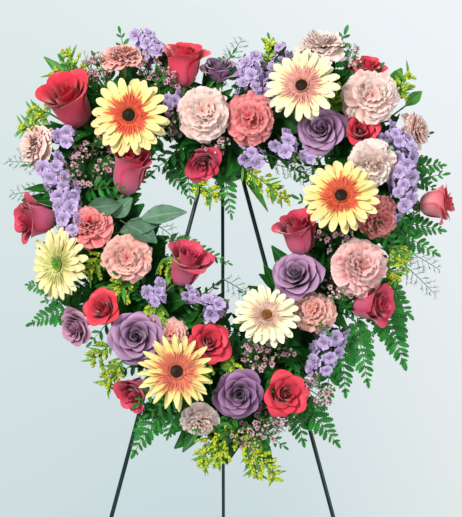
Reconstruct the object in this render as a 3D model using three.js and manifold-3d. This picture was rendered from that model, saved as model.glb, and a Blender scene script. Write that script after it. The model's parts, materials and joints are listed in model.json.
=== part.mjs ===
// A funeral wreath: an open heart of cut flowers in floral foam, hung on a folding tripod easel.
//
// Units are millimetres, +Z is up and the flowers face -Y. The two front legs lie in one plane that leans
// back. Inside that plane x runs to the right, y to the back and z up along the lean, and the group called
// wreath has its origin at the heart's centre on the back face of the tray. The rear leg turns on a pin at
// the head. The origin of the whole part is the middle of its footprint, on the floor.
import * as THREE from "three";
import { mergeVertices } from "three/addons/utils/BufferGeometryUtils.js";
import Module from "manifold-3d";

// Easel
const APEX_HEIGHT = 1300; // where the planes of the legs meet, above the floor
const LEAN = THREE.MathUtils.degToRad(12); // of the front legs, backwards from upright
const REAR_LEAN = THREE.MathUtils.degToRad(16); // of the open rear leg, from upright
const LEG_RADIUS = 3;
const REAR_LEG_RADIUS = 2.6;
const LEG_TOP_X = 12; // half the distance between the front legs at the apex
const LEG_RISE = 5; // how far the front legs reach above the apex
const FOOT_X = 365; // half the distance between the front feet
const BAR_RADIUS = 3;
const GAP = 0.3; // between pieces that touch
const PIN_RADIUS = 3;
const TONGUE_THICK = 3; // of the tongue that the tray hangs on
const PIN_BEHIND = 14; // the hinge pin's axis behind the front legs' plane
const SHEET = 2.5; // thickness of the head bracket's steel
const BARREL_RADIUS = 7;
const BARREL_WIDTH = 11;
const CAP_WALL = 3;
const CAP_LENGTH = 34;
const LEG_END = 8; // the rod stops this far above the floor, inside its cap

// Heart
const HEART_ASIDE = 7; // the heart hangs this far to the right of the easel's middle
const HEART_DROP = 165; // its centre below the apex, along the lean
const LOBE_X = 100; // centres of the two round lobes, from the heart's centre
const LOBE_Z = 95;
const LOBE_RADIUS = 108; // of the ring's middle line
const TIP_Z = -242;
const FOAM_HALF_WIDTH = 40;
const FOAM_FRONT = 50; // the foam's front face, from the tray's back
const TRAY_WALL = 3;
const TRAY_RIM = 18;
const STEM_RADIUS = 2.5;
const STEM_DEPTH = 30; // of a stem's end, from the tray's back
const STEM_EDGE = 14; // a stem's end keeps this far inside the foam's edge
const SNUG = 0.86; // a bloom's solid against its open petals, which press into each other

const LEG_LENGTH = APEX_HEIGHT / Math.cos(LEAN);
const LEG_SLOPE = (FOOT_X - LEG_TOP_X) / LEG_LENGTH;
const TRAY_OFFSET = FOAM_HALF_WIDTH + TRAY_WALL;
const NOTCH_Z = LOBE_Z + Math.sqrt(LOBE_RADIUS ** 2 - LOBE_X ** 2);
const SIDE_ANGLE = sideAngle(); // of the heart's straight sides, from upright

// Blooms: place across and up from the heart's centre, how far the head stands in front of the tray's back,
// the open flower's width, and where it faces: turned to the right and tipped up, in degrees.
const GERBERAS = [
  [-136, 171, 128, 110, -5, 0],
  [-237, -34, 96, 101, -38, -5],
  [-69, -184, 126, 106, 5, 8],
  [55, -106, 122, 92, 5, 25],
  [158, 59, 128, 106, -6, 14],
  [104, 213, 126, 105, -15, 10],
];
const LAVENDER_ROSES = [
  [-11, 241, 70, 54, 5, 52],
  [134, 155, 92, 70, -10, 5],
  [-126, -136, 100, 76, 0, 0],
  [17, -216, 96, 68, 0, -5],
  [98, -50, 94, 72, -12, 20],
  [-214, -120, 52, 54, -40, -20],
];
const PINK_ROSES = [
  [-61, 248, 80, 62, 5, 60],
  [-219, 191, 80, 72, -20, 35],
  [-270, 32, 68, 66, -60, -5],
  [-139, 88, 84, 54, 15, 50],
  [-58, -38, 84, 64, 25, 48],
  [-171, -98, 92, 54, -20, 20],
  [-25, -143, 96, 60, 10, 15],
  [-129, -211, 64, 48, -30, -25],
  [81, -216, 90, 64, 15, 5],
  [101, 4, 88, 58, -15, 50],
  [199, -91, 72, 56, 50, 0],
  [303, 55, 56, 62, 80, 5],
  [189, 155, 90, 50, 0, 5],
  [201, 246, 64, 46, 10, 50],
  [-36, 113, 80, 52, 5, -35],
];
const CARNATIONS = [
  [-32, 178, 98, 70, 0, 0],
  [33, 171, 98, 66, 0, 0],
  [-148, 258, 78, 58, 0, 58],
  [-193, 20, 86, 62, -10, 25],
  [-140, -26, 98, 64, 0, 0],
  [-80, -133, 82, 47, 0, 10],
  [-38, -252, 74, 50, 0, -45],
  [121, -101, 84, 56, -10, 15],
  [185, -38, 92, 74, 15, 0],
  [214, 32, 84, 58, 30, -20],
  [203, 107, 98, 64, 0, -30],
  [202, 202, 96, 74, 5, 5],
  [135, 277, 72, 66, 0, 55],
  [267, 158, 68, 50, 60, 0],
  [-272, 138, 66, 54, -50, 10],
];
// Flower spikes of stock: the two ends of the flowering part across, up and forward, and its width.
const STOCKS = [
  [-251, 112, 84, -218, 44, 84, 44],
  [250, 120, 90, 248, 48, 84, 40],
  [150, -124, 74, 130, -186, 80, 42],
  [-98, 262, 70, -124, 298, 62, 38],
  [30, 208, 82, 36, 262, 72, 42],
];

const STEEL_GREEN = new THREE.MeshStandardMaterial({ color: 0x123a2c, roughness: 0.4, metalness: 0.3 });
const ZINC = new THREE.MeshStandardMaterial({ color: 0xa9adad, roughness: 0.35, metalness: 0.9 });
const RUBBER = new THREE.MeshStandardMaterial({ color: 0x151515, roughness: 0.85, metalness: 0 });
const TRAY_GREEN = new THREE.MeshStandardMaterial({ color: 0x1f5a34, roughness: 0.5, metalness: 0 });
const FOAM = new THREE.MeshStandardMaterial({ color: 0x2f6b3c, roughness: 0.95, metalness: 0 });
const CREAM_PETAL = new THREE.MeshStandardMaterial({ color: 0xf4e796, roughness: 0.6, metalness: 0 });
const LAVENDER_PETAL = new THREE.MeshStandardMaterial({ color: 0x9a6a9c, roughness: 0.6, metalness: 0 });
const PINK_PETAL = new THREE.MeshStandardMaterial({ color: 0xd63e5c, roughness: 0.55, metalness: 0 });
const BLUSH_PETAL = new THREE.MeshStandardMaterial({ color: 0xf2a79c, roughness: 0.65, metalness: 0 });
const STOCK_PETAL = new THREE.MeshStandardMaterial({ color: 0xab8fd6, roughness: 0.65, metalness: 0 });

const wasm = await Module();
wasm.setup();

// The solid of a closed geometry, for joining and cutting.
function solidOf(geometry) {
  const bare = new THREE.BufferGeometry().setAttribute("position", geometry.getAttribute("position"));
  bare.setIndex(geometry.index);
  const merged = mergeVertices(bare, 1e-3);
  const vertProperties = merged.attributes.position.array;
  return new wasm.Manifold(
    new wasm.Mesh({ numProp: 3, vertProperties, triVerts: new Uint32Array(merged.index.array) }),
  );
}

function geometryOf(solid) {
  const made = solid.getMesh();
  const geometry = new THREE.BufferGeometry();
  geometry.setAttribute("position", new THREE.BufferAttribute(new Float32Array(made.vertProperties), 3));
  geometry.setIndex(new THREE.BufferAttribute(new Uint32Array(made.triVerts), 1));
  geometry.computeVertexNormals();
  return geometry;
}

function meshOf(name, geometry, material) {
  const mesh = new THREE.Mesh(geometry, material);
  mesh.name = name;
  return mesh;
}

function box(x0, x1, y0, y1, z0, z1) {
  const geometry = new THREE.BoxGeometry(x1 - x0, y1 - y0, z1 - z0);
  return geometry.translate((x0 + x1) / 2, (y0 + y1) / 2, (z0 + z1) / 2);
}

// A cylinder between two points.
function rod(from, to, radius, sides) {
  const along = to.clone().sub(from);
  const geometry = new THREE.CylinderGeometry(radius, radius, along.length(), sides);
  const turn = new THREE.Quaternion().setFromUnitVectors(new THREE.Vector3(0, 1, 0), along.normalize());
  return geometry.applyQuaternion(turn).translate(...from.clone().add(to).multiplyScalar(0.5));
}

// A point in the plane of the front legs, in the part's own directions.
function inLegPlane(x, y, z) {
  return new THREE.Vector3(x, y, z)
    .applyAxisAngle(new THREE.Vector3(1, 0, 0), -LEAN)
    .add(new THREE.Vector3(0, 0, APEX_HEIGHT));
}

function legX(z) {
  return LEG_TOP_X - z * LEG_SLOPE;
}

// The angle between upright and the line from the tip that touches a lobe.
function sideAngle() {
  const rise = LOBE_Z - TIP_Z;
  const away = Math.hypot(LOBE_X, rise);
  return Math.atan2(LOBE_X, rise) + Math.asin(LOBE_RADIUS / away);
}

// The heart's outline, grown by offset: two lobes, two straight sides and, on the inner outline, an arc that
// keeps its distance from the notch.
function heartPath(path, offset) {
  const radius = LOBE_RADIUS + offset;
  const tip = TIP_Z - offset / Math.sin(SIDE_ANGLE);
  path.moveTo(0, tip);
  path.lineTo(LOBE_X + radius * Math.cos(SIDE_ANGLE), LOBE_Z - radius * Math.sin(SIDE_ANGLE));
  if (offset > 0) {
    const end = Math.acos(-LOBE_X / radius);
    path.absarc(LOBE_X, LOBE_Z, radius, -SIDE_ANGLE, end, false);
    path.absarc(-LOBE_X, LOBE_Z, radius, Math.PI - end, Math.PI + SIDE_ANGLE, false);
  } else {
    const end = Math.acos(-LOBE_X / LOBE_RADIUS);
    path.absarc(LOBE_X, LOBE_Z, radius, -SIDE_ANGLE, end, false);
    path.absarc(0, NOTCH_Z, -offset, end - Math.PI, -end, true);
    path.absarc(-LOBE_X, LOBE_Z, radius, Math.PI - end, Math.PI + SIDE_ANGLE, false);
  }
  path.closePath();
  return path;
}

// A ring between two outlines of the heart, from one depth in front of the tray's back to another.
function heartRing(outer, inner, from, to, curveSegments) {
  const shape = heartPath(new THREE.Shape(), outer);
  shape.holes.push(heartPath(new THREE.Path(), inner));
  const geometry = new THREE.ExtrudeGeometry(shape, { depth: to - from, bevelEnabled: false, curveSegments });
  return geometry.rotateX(Math.PI / 2).translate(0, -from, 0);
}

// The place on the ring's middle line that is nearest to a point.
function nearestOnHeart(x, z) {
  const spots = heartPath(new THREE.Path(), 0.001).getSpacedPoints(240);
  const here = new THREE.Vector2(x, z);
  return spots.reduce((best, spot) => (spot.distanceTo(here) < best.distanceTo(here) ? spot : best));
}

function facing(turn, tip) {
  const yaw = THREE.MathUtils.degToRad(turn);
  const pitch = THREE.MathUtils.degToRad(tip);
  return new THREE.Vector3(
    Math.sin(yaw) * Math.cos(pitch),
    -Math.cos(yaw) * Math.cos(pitch),
    Math.sin(pitch),
  );
}

// Where a stem ends in the foam below a head at this place.
function stemEnd(x, z) {
  const middle = nearestOnHeart(x, z);
  const aside = new THREE.Vector2(x, z).sub(middle);
  aside.clampLength(0, FOAM_HALF_WIDTH - STEM_EDGE);
  return new THREE.Vector3(middle.x + aside.x, -STEM_DEPTH, middle.y + aside.y);
}

function stem(head, radius = STEM_RADIUS) {
  return rod(stemEnd(head.x, head.z), head, radius, 6);
}

// Profiles of the heads, as shares of the radius: out from the axis and along it towards the face.
const GERBERA_PROFILE = [
  [0, -0.42],
  [0.16, -0.4],
  [0.3, -0.2],
  [1, 0.02],
  [0.98, 0.1],
  [0.34, 0.06],
  [0.2, 0.16],
  [0, 0.2],
];
const ROSE_PROFILE = [
  [0, -0.95],
  [0.34, -0.88],
  [0.82, -0.35],
  [1, 0.2],
  [0.82, 0.62],
  [0.4, 0.78],
  [0, 0.84],
];
const CARNATION_PROFILE = [
  [0, -1.1],
  [0.26, -1.05],
  [0.34, -0.5],
  [0.9, -0.18],
  [1, 0.12],
  [0.72, 0.5],
  [0, 0.66],
];

function headOf(profile, radius, sides) {
  const points = profile.map(([out, along]) => new THREE.Vector2(out * radius, along * radius));
  return new THREE.LatheGeometry(points, sides);
}

// A bloom on its stem, as one solid in the wreath's coordinates, with the stem alone for cutting the foam.
function bloom([x, z, forward, width, turn, tip], profile, sides) {
  const centre = new THREE.Vector3(x, -forward, z);
  const towards = facing(turn, tip);
  const turned = new THREE.Quaternion().setFromUnitVectors(new THREE.Vector3(0, 1, 0), towards);
  const radius = (width / 2) * SNUG;
  const head = headOf(profile, radius, sides).applyQuaternion(turned).translate(...centre);
  const neck = centre.clone().addScaledVector(towards, -0.3 * radius);
  return {
    solid: solidOf(head).add(solidOf(stem(neck))),
    bore: solidOf(stem(neck, STEM_RADIUS + GAP)),
  };
}

// A spike of stock: florets round a stem as one spindle, with the bare stem going on into the foam.
function spike([x0, z0, forward0, x1, z1, forward1, width]) {
  const from = new THREE.Vector3(x0, -forward0, z0);
  const to = new THREE.Vector3(x1, -forward1, z1);
  const along = to.clone().sub(from);
  const half = along.length() / 2;
  const radius = (width / 2) * SNUG;
  const profile = [
    [0, -half],
    [radius * 0.7, -half * 0.9],
    [radius, -half * 0.3],
    [radius * 0.9, half * 0.4],
    [radius * 0.4, half * 0.92],
    [0, half],
  ].map(([out, up]) => new THREE.Vector2(out, up));
  const middle = from.clone().add(to).multiplyScalar(0.5);
  const turned = new THREE.Quaternion().setFromUnitVectors(new THREE.Vector3(0, 1, 0), along.normalize());
  const florets = new THREE.LatheGeometry(profile, 8).applyQuaternion(turned).translate(...middle);
  return {
    solid: solidOf(florets).add(solidOf(stem(from.clone().lerp(middle, 0.4)))),
    bore: solidOf(stem(from.clone().lerp(middle, 0.4), STEM_RADIUS + GAP)),
  };
}

function frontLeg(side) {
  const top = inLegPlane(side * legX(LEG_RISE), 0, LEG_RISE);
  const foot = inLegPlane(side * FOOT_X, 0, -LEG_LENGTH);
  const end = foot.clone().lerp(top, LEG_END / APEX_HEIGHT);
  return rod(top, end, LEG_RADIUS, 12);
}

// A rubber cap round the end of a leg that comes down from above, cut level with the floor.
function footCap(above, foot, legRadius) {
  const along = foot.clone().sub(above).normalize();
  const radius = legRadius + CAP_WALL;
  const outer = rod(
    foot.clone().addScaledVector(along, -CAP_LENGTH),
    foot.clone().addScaledVector(along, radius),
    radius,
    16,
  );
  const end = foot.clone().addScaledVector(along, (-LEG_END / APEX_HEIGHT) * foot.distanceTo(above) + GAP);
  const bore = rod(foot.clone().addScaledVector(along, -2 * CAP_LENGTH), end, legRadius + GAP, 12);
  const reach = 4 * radius;
  const aboveFloor = box(
    foot.x - reach, foot.x + reach,
    foot.y - reach, foot.y + reach,
    0, CAP_LENGTH * 2,
  );
  return geometryOf(solidOf(outer).subtract(solidOf(bore)).intersect(solidOf(aboveFloor)));
}

// A folded steel head in the coordinates of the leg plane: a web behind the two legs, two ears for the pin, a
// bridge that stops the rear leg, and a tongue that the tray hangs on.
function headBracket() {
  const webFront = LEG_RADIUS + GAP;
  const webBack = webFront + SHEET;
  const earInside = BARREL_WIDTH / 2 + GAP;
  const stopAngle = LEAN + REAR_LEAN;
  let bracket = solidOf(box(-22, 22, webFront, webBack, -26, 10));
  for (const side of [-1, 1]) {
    const inner = side * earInside;
    const outer = side * (earInside + SHEET);
    const ear = box(Math.min(inner, outer), Math.max(inner, outer), webBack - 1, 30, -20, 9);
    bracket = bracket.add(solidOf(ear));
  }
  const stopReach = 15; // down the leg from the pin
  const stop = box(
    -earInside - 1, earInside + 1,
    REAR_LEG_RADIUS + GAP, REAR_LEG_RADIUS + GAP + SHEET,
    -stopReach - 4, -stopReach + 4,
  );
  stop.rotateX(stopAngle).translate(0, PIN_BEHIND, 0);
  const tongue = box(-4, 4, -TONGUE_THICK / 2, TONGUE_THICK / 2, -6, 20);
  const root = box(-4, 4, 0, webFront + 1, -6, -3);
  const bore = rod(
    new THREE.Vector3(-30, PIN_BEHIND, 0),
    new THREE.Vector3(30, PIN_BEHIND, 0),
    PIN_RADIUS + GAP,
    16,
  );
  return bracket
    .add(solidOf(stop))
    .add(solidOf(tongue))
    .add(solidOf(root))
    .subtract(solidOf(bore));
}

// A rivet through both ears, with a round head at each end.
function hingePin() {
  const half = BARREL_WIDTH / 2 + GAP + SHEET + GAP;
  const profile = [
    [0, -half - 2.4],
    [3, -half - 2.4],
    [5, -half],
    [PIN_RADIUS, -half],
    [PIN_RADIUS, half],
    [5, half],
    [3, half + 2.4],
    [0, half + 2.4],
  ].map(([out, along]) => new THREE.Vector2(out, along));
  return new THREE.LatheGeometry(profile, 16).rotateZ(-Math.PI / 2);
}

// The rear leg hangs straight down from its barrel, before it is swung out.
function rearLeg(length) {
  const across = new THREE.Vector3(BARREL_WIDTH / 2, 0, 0);
  const barrel = rod(across.clone().negate(), across, BARREL_RADIUS, 20);
  const bore = rod(new THREE.Vector3(-20, 0, 0), new THREE.Vector3(20, 0, 0), PIN_RADIUS + GAP, 16);
  const shaft = rod(new THREE.Vector3(0, 0, -4.5), new THREE.Vector3(0, 0, -length), REAR_LEG_RADIUS, 12);
  return geometryOf(solidOf(barrel).add(solidOf(shaft)).subtract(solidOf(bore)));
}

// A prong under the tray's edge where the leg comes out from behind it, with its end turned up.
function supportHook(side) {
  const edgeTip = TIP_Z - TRAY_OFFSET / Math.sin(SIDE_ANGLE);
  const edgeRise = 1 / Math.tan(SIDE_ANGLE);
  // Where the edge z = edgeTip + x * edgeRise meets the leg x = legTop + (HEART_DROP - z) * LEG_SLOPE.
  const legTop = LEG_TOP_X - side * HEART_ASIDE;
  const x = (legTop + (HEART_DROP - edgeTip) * LEG_SLOPE) / (1 + edgeRise * LEG_SLOPE);
  const z = edgeTip + x * edgeRise;
  const outward = new THREE.Vector3(Math.cos(SIDE_ANGLE), 0, -Math.sin(SIDE_ANGLE));
  const clear = BAR_RADIUS + 2 * GAP;
  const at = (depth, out) =>
    new THREE.Vector3(x, -depth, z).addScaledVector(outward, out).multiply(new THREE.Vector3(side, 1, 1));
  const reach = FOAM_FRONT + 8;
  const bend = 6;
  const path = new THREE.CurvePath();
  path.add(new THREE.LineCurve3(at(GAP / 2, clear), at(reach - bend, clear)));
  path.add(new THREE.QuadraticBezierCurve3(at(reach - bend, clear), at(reach, clear), at(reach, clear - bend)));
  path.add(new THREE.LineCurve3(at(reach, clear - bend), at(reach, clear - 3 * bend)));
  const section = new THREE.Shape().absarc(0, 0, BAR_RADIUS, 0, 2 * Math.PI);
  return new THREE.ExtrudeGeometry(section, { steps: 24, curveSegments: 4, extrudePath: path });
}

// A shallow plastic tray that backs the foam, with a staple behind the notch for the easel's tongue.
function backingTray() {
  const pan = solidOf(heartRing(TRAY_OFFSET, -TRAY_OFFSET, 0, TRAY_RIM, 10));
  const pocket = FOAM_HALF_WIDTH + GAP;
  const inside = solidOf(heartRing(pocket, -pocket, TRAY_WALL, TRAY_RIM + 5, 10));
  const stapleTop = HEART_DROP + 16;
  const stapleBottom = HEART_DROP + 7;
  const stapleX = -HEART_ASIDE;
  const stapleBack = 2 * LEG_RADIUS + GAP;
  const staple = solidOf(box(stapleX - 8, stapleX + 8, -1, stapleBack, stapleBottom, stapleTop));
  const slotFront = LEG_RADIUS - TONGUE_THICK / 2;
  const slotBack = LEG_RADIUS + TONGUE_THICK / 2 + 2 * GAP;
  const slot = solidOf(box(stapleX - 5, stapleX + 5, slotFront, slotBack, stapleBottom - 5, stapleTop + 5));
  return pan.subtract(inside).add(staple).subtract(slot);
}

const easel = new THREE.Group();
const wreath = new THREE.Group();
wreath.position.copy(inLegPlane(HEART_ASIDE, -LEG_RADIUS - GAP, -HEART_DROP));
wreath.rotation.x = -LEAN;
easel.add(wreath);

for (const [side, word] of [[-1, "left"], [1, "right"]]) {
  const above = inLegPlane(side * LEG_TOP_X, 0, 0);
  const foot = inLegPlane(side * FOOT_X, 0, -LEG_LENGTH);
  easel.add(meshOf("front_leg_" + word, frontLeg(side), STEEL_GREEN));
  easel.add(meshOf("foot_cap_" + word, footCap(above, foot, LEG_RADIUS), RUBBER));
  wreath.add(meshOf("support_hook_" + word, supportHook(side), STEEL_GREEN));
}

const legPlane = new THREE.Group();
legPlane.position.copy(inLegPlane(0, 0, 0));
legPlane.rotation.x = -LEAN;
easel.add(legPlane);
legPlane.add(meshOf("head_bracket", geometryOf(headBracket()), STEEL_GREEN));
const barZ = -HEART_DROP - 176;
const barY = LEG_RADIUS + BAR_RADIUS + GAP;
const barX = legX(barZ) + LEG_RADIUS;
const barEnds = [-1, 1].map((side) => new THREE.Vector3(side * barX, barY, barZ));
legPlane.add(meshOf("cross_bar", rod(...barEnds, BAR_RADIUS, 10), STEEL_GREEN));
const pin = meshOf("hinge_pin", hingePin(), ZINC);
pin.position.set(0, PIN_BEHIND, 0);
legPlane.add(pin);

const pivot = inLegPlane(0, PIN_BEHIND, 0);
const rearLength = pivot.z / Math.cos(REAR_LEAN);
const rearFoot = new THREE.Vector3(0, pivot.y + pivot.z * Math.tan(REAR_LEAN), 0);
const rear = meshOf("rear_leg", rearLeg(rearLength * (1 - LEG_END / APEX_HEIGHT)), STEEL_GREEN);
rear.position.copy(pivot);
rear.rotation.x = REAR_LEAN;
easel.add(rear);
easel.add(meshOf("foot_cap_rear", footCap(pivot, rearFoot, REAR_LEG_RADIUS), RUBBER));

wreath.add(meshOf("backing_tray", geometryOf(backingTray()), TRAY_GREEN));
let foam = solidOf(heartRing(FOAM_HALF_WIDTH, -FOAM_HALF_WIDTH, TRAY_WALL + GAP, FOAM_FRONT, 10));

const kinds = [
  ["gerbera", GERBERAS, CREAM_PETAL, (row) => bloom(row, GERBERA_PROFILE, 12)],
  ["lavender_rose", LAVENDER_ROSES, LAVENDER_PETAL, (row) => bloom(row, ROSE_PROFILE, 8)],
  ["pink_rose", PINK_ROSES, PINK_PETAL, (row) => bloom(row, ROSE_PROFILE, 8)],
  ["carnation", CARNATIONS, BLUSH_PETAL, (row) => bloom(row, CARNATION_PROFILE, 9)],
  ["stock_spike", STOCKS, STOCK_PETAL, spike],
];
for (const [word, rows, material, make] of kinds) {
  rows.forEach((row, i) => {
    const { solid, bore } = make(row);
    foam = foam.subtract(bore);
    wreath.add(meshOf(word + "_" + String(i + 1).padStart(2, "0"), geometryOf(solid), material));
  });
}
wreath.add(meshOf("foam_heart", geometryOf(foam), FOAM));

// The origin goes to the middle of the footprint, on the floor.
const bounds = new THREE.Box3().setFromObject(easel, true);
easel.position.set(-(bounds.min.x + bounds.max.x) / 2, -(bounds.min.y + bounds.max.y) / 2, -bounds.min.z);

export default easel;
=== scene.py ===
"""A heart-shaped funeral wreath on its easel: the flowers, leaves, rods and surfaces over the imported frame.

Shapes are built in the wreath's own coordinates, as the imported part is: x to the right, y to the back and z up
along the lean, from the heart's centre on the back of its tray. Places and sizes in the tables are in
millimetres and angles in degrees. Everything becomes metres when it is turned into a piece.
"""

import json
import math

import bpy
import numpy as np
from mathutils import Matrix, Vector


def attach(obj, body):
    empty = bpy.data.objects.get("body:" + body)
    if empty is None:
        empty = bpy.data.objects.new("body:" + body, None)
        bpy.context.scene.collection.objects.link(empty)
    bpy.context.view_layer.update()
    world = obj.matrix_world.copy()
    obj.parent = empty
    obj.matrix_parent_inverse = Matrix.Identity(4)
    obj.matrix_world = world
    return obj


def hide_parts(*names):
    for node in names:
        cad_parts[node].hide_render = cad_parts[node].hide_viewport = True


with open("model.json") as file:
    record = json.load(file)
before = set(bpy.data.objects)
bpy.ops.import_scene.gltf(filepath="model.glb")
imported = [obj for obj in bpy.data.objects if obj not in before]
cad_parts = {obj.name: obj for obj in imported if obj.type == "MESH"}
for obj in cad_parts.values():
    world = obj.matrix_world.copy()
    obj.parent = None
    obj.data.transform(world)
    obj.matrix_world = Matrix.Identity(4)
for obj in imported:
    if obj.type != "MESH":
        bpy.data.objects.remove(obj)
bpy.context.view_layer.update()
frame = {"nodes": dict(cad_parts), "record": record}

MM = 0.001
FRONT_BODY = "easel_front_and_wreath"
REAR_BODY = "rear_leg"
LEAN = 12  # of the heart and the front legs
REAR_LEAN = 16
HINGE_BEHIND = 14  # the hinge pin behind the front legs' plane
TRAY_BEFORE = 3.3  # the tray's back in front of that plane
HEART_DROP = 165  # the heart's centre below the point where the legs meet
GOLDEN_ANGLE = 137.508

# Blooms: across, up, forward, width, turned to the right and tipped up; then what kind it is.
GERBERAS = [
    (-136, 171, 128, 110, -5, 0, "coral_eye"),
    (-237, -34, 96, 101, -38, -5, "green_eye"),
    (-69, -184, 126, 106, 5, 8, "spider"),
    (55, -106, 122, 92, 5, 25, "cream"),
    (158, 59, 128, 106, -6, 14, "yellow"),
    (104, 213, 126, 105, -15, 10, "cream_coral_eye"),
]
LAVENDER_ROSES = [
    (-11, 241, 70, 54, 5, 52, 0.4, "mauve"),
    (134, 155, 92, 70, -10, 5, 0.9, "mauve"),
    (-126, -136, 100, 76, 0, 0, 0.95, "mauve"),
    (17, -216, 96, 68, 0, -5, 0.95, "purple"),
    (98, -50, 94, 72, -12, 20, 0.8, "mauve"),
    (-214, -120, 52, 54, -40, -20, 0.6, "orchid"),
]
PINK_ROSES = [
    (-61, 248, 80, 62, 5, 60, 0.35, "red"),
    (-219, 191, 80, 72, -20, 35, 0.25, "red"),
    (-270, 32, 68, 66, -60, -5, 0.6, "rosy"),
    (-139, 88, 84, 54, 15, 50, 0.15, "rosy"),
    (-58, -38, 84, 64, 25, 48, 0.35, "rosy"),
    (-171, -98, 92, 54, -20, 20, 0.6, "red"),
    (-25, -143, 96, 60, 10, 15, 0.8, "red"),
    (-129, -211, 64, 48, -30, -25, 0.4, "rosy"),
    (81, -216, 90, 64, 15, 5, 0.9, "red"),
    (101, 4, 88, 58, -15, 50, 0.3, "rosy"),
    (199, -91, 72, 56, 50, 0, 0.4, "rosy"),
    (303, 55, 56, 62, 80, 5, 0.9, "salmon"),
    (189, 155, 90, 50, 0, 5, 0.8, "red"),
    (201, 246, 64, 46, 10, 50, 0.5, "red"),
    (-36, 113, 80, 52, 5, -35, 0.5, "rosy"),
]
CARNATIONS = [
    (-32, 178, 98, 70, 0, 0, "pale"),
    (33, 171, 98, 66, 0, 0, "coral"),
    (-148, 258, 78, 58, 0, 58, "salmon"),
    (-193, 20, 86, 62, -10, 25, "coral"),
    (-140, -26, 98, 64, 0, 0, "salmon"),
    (-80, -133, 82, 47, 0, 10, "salmon"),
    (-38, -252, 74, 50, 0, -45, "blush"),
    (121, -101, 84, 56, -10, 15, "salmon"),
    (185, -38, 92, 74, 15, 0, "pink"),
    (214, 32, 84, 58, 30, -20, "coral"),
    (203, 107, 98, 64, 0, -30, "blush"),
    (202, 202, 96, 74, 5, 5, "pale"),
    (135, 277, 72, 66, 0, 55, "blush"),
    (267, 158, 68, 50, 60, 0, "pale"),
    (-272, 138, 66, 54, -50, 10, "pale"),
]
# Spikes: across, up and forward of both ends, and the width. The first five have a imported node.
STOCKS = [
    (-251, 112, 84, -218, 44, 84, 54),
    (250, 120, 90, 248, 48, 84, 54),
    (150, -124, 74, 130, -186, 80, 54),
    (-98, 262, 70, -124, 298, 62, 50),
    (30, 208, 82, 36, 262, 72, 52),
    (66, 232, 70, 82, 276, 60, 42),
    (24, 124, 78, 48, 116, 84, 44),
    (76, 144, 82, 92, 122, 92, 44),
    (108, 128, 78, 122, 118, 78, 34),
    (-236, 158, 80, -220, 140, 84, 42),
    (226, 156, 88, 262, 126, 88, 40),
    (-104, -66, 92, -96, -88, 96, 40),
    (-56, -72, 84, -44, -84, 86, 28),
    (-30, -100, 98, -8, -88, 98, 50),
    (-78, 206, 78, -76, 180, 84, 32),
    (-230, 56, 92, -214, 12, 92, 46),
    (58, 200, 78, 66, 226, 82, 34),
    (236, 40, 84, 222, 24, 84, 30),
]
# Patches of waxflower: across, up, forward, width and height; then how many stems show and how many are buds.
WAXFLOWERS = [
    (-196, 105, 88, 66, 80, 9, 0.35),
    (-188, 250, 70, 44, 40, 6, 0.5),
    (-108, 252, 76, 40, 40, 5, 0.6),
    (-84, 232, 78, 34, 34, 5, 0.5),
    (-77, 160, 80, 36, 44, 5, 0.5),
    (-17, 136, 84, 44, 34, 5, 0.6),
    (182, 262, 64, 30, 62, 5, 0.7),
    (155, 11, 84, 58, 42, 7, 0.4),
    (50, -158, 90, 78, 56, 10, 0.45),
    (160, -69, 84, 44, 36, 6, 0.8),
    (129, -217, 74, 44, 54, 6, 0.5),
    (66, -258, 74, 56, 50, 8, 0.5),
    (26, -276, 66, 44, 40, 6, 0.6),
    (-160, 135, 76, 34, 50, 5, 0.5),
]
# Plumes of solidago: across, up and forward of the foot and of the tip, and the width.
SOLIDAGOS = [
    (-196, 226, 60, -236, 276, 56, 34),
    (-214, 222, 62, -252, 244, 60, 26),
    (-258, 168, 60, -298, 166, 50, 24),
    (-256, 186, 60, -284, 190, 52, 20),
    (-46, 84, 70, -14, 60, 74, 28),
    (56, 246, 60, 62, 292, 58, 26),
    (146, 180, 80, 160, 222, 86, 30),
    (238, 206, 72, 262, 240, 66, 32),
    (30, 100, 70, 88, 56, 72, 22),
    (-170, -18, 80, -196, -48, 92, 36),
    (-132, -50, 80, -156, -74, 92, 40),
    (-90, -28, 80, -72, -50, 92, 34),
    (-166, -146, 62, -192, -172, 58, 34),
    (-150, -170, 62, -172, -206, 58, 34),
    (-96, -88, 84, -104, -114, 92, 30),
    (-26, -168, 86, -38, -194, 94, 36),
    (10, -166, 82, 10, -196, 88, 26),
    (-4, -244, 66, -38, -320, 58, 40),
    (6, -252, 66, -18, -318, 64, 34),
    (14, -272, 66, 74, -338, 60, 34),
    (30, -266, 62, 42, -334, 56, 30),
    (172, -2, 82, 178, -36, 92, 38),
    (222, -28, 74, 242, -56, 72, 34),
    (232, -10, 74, 254, -28, 72, 28),
]
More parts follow.
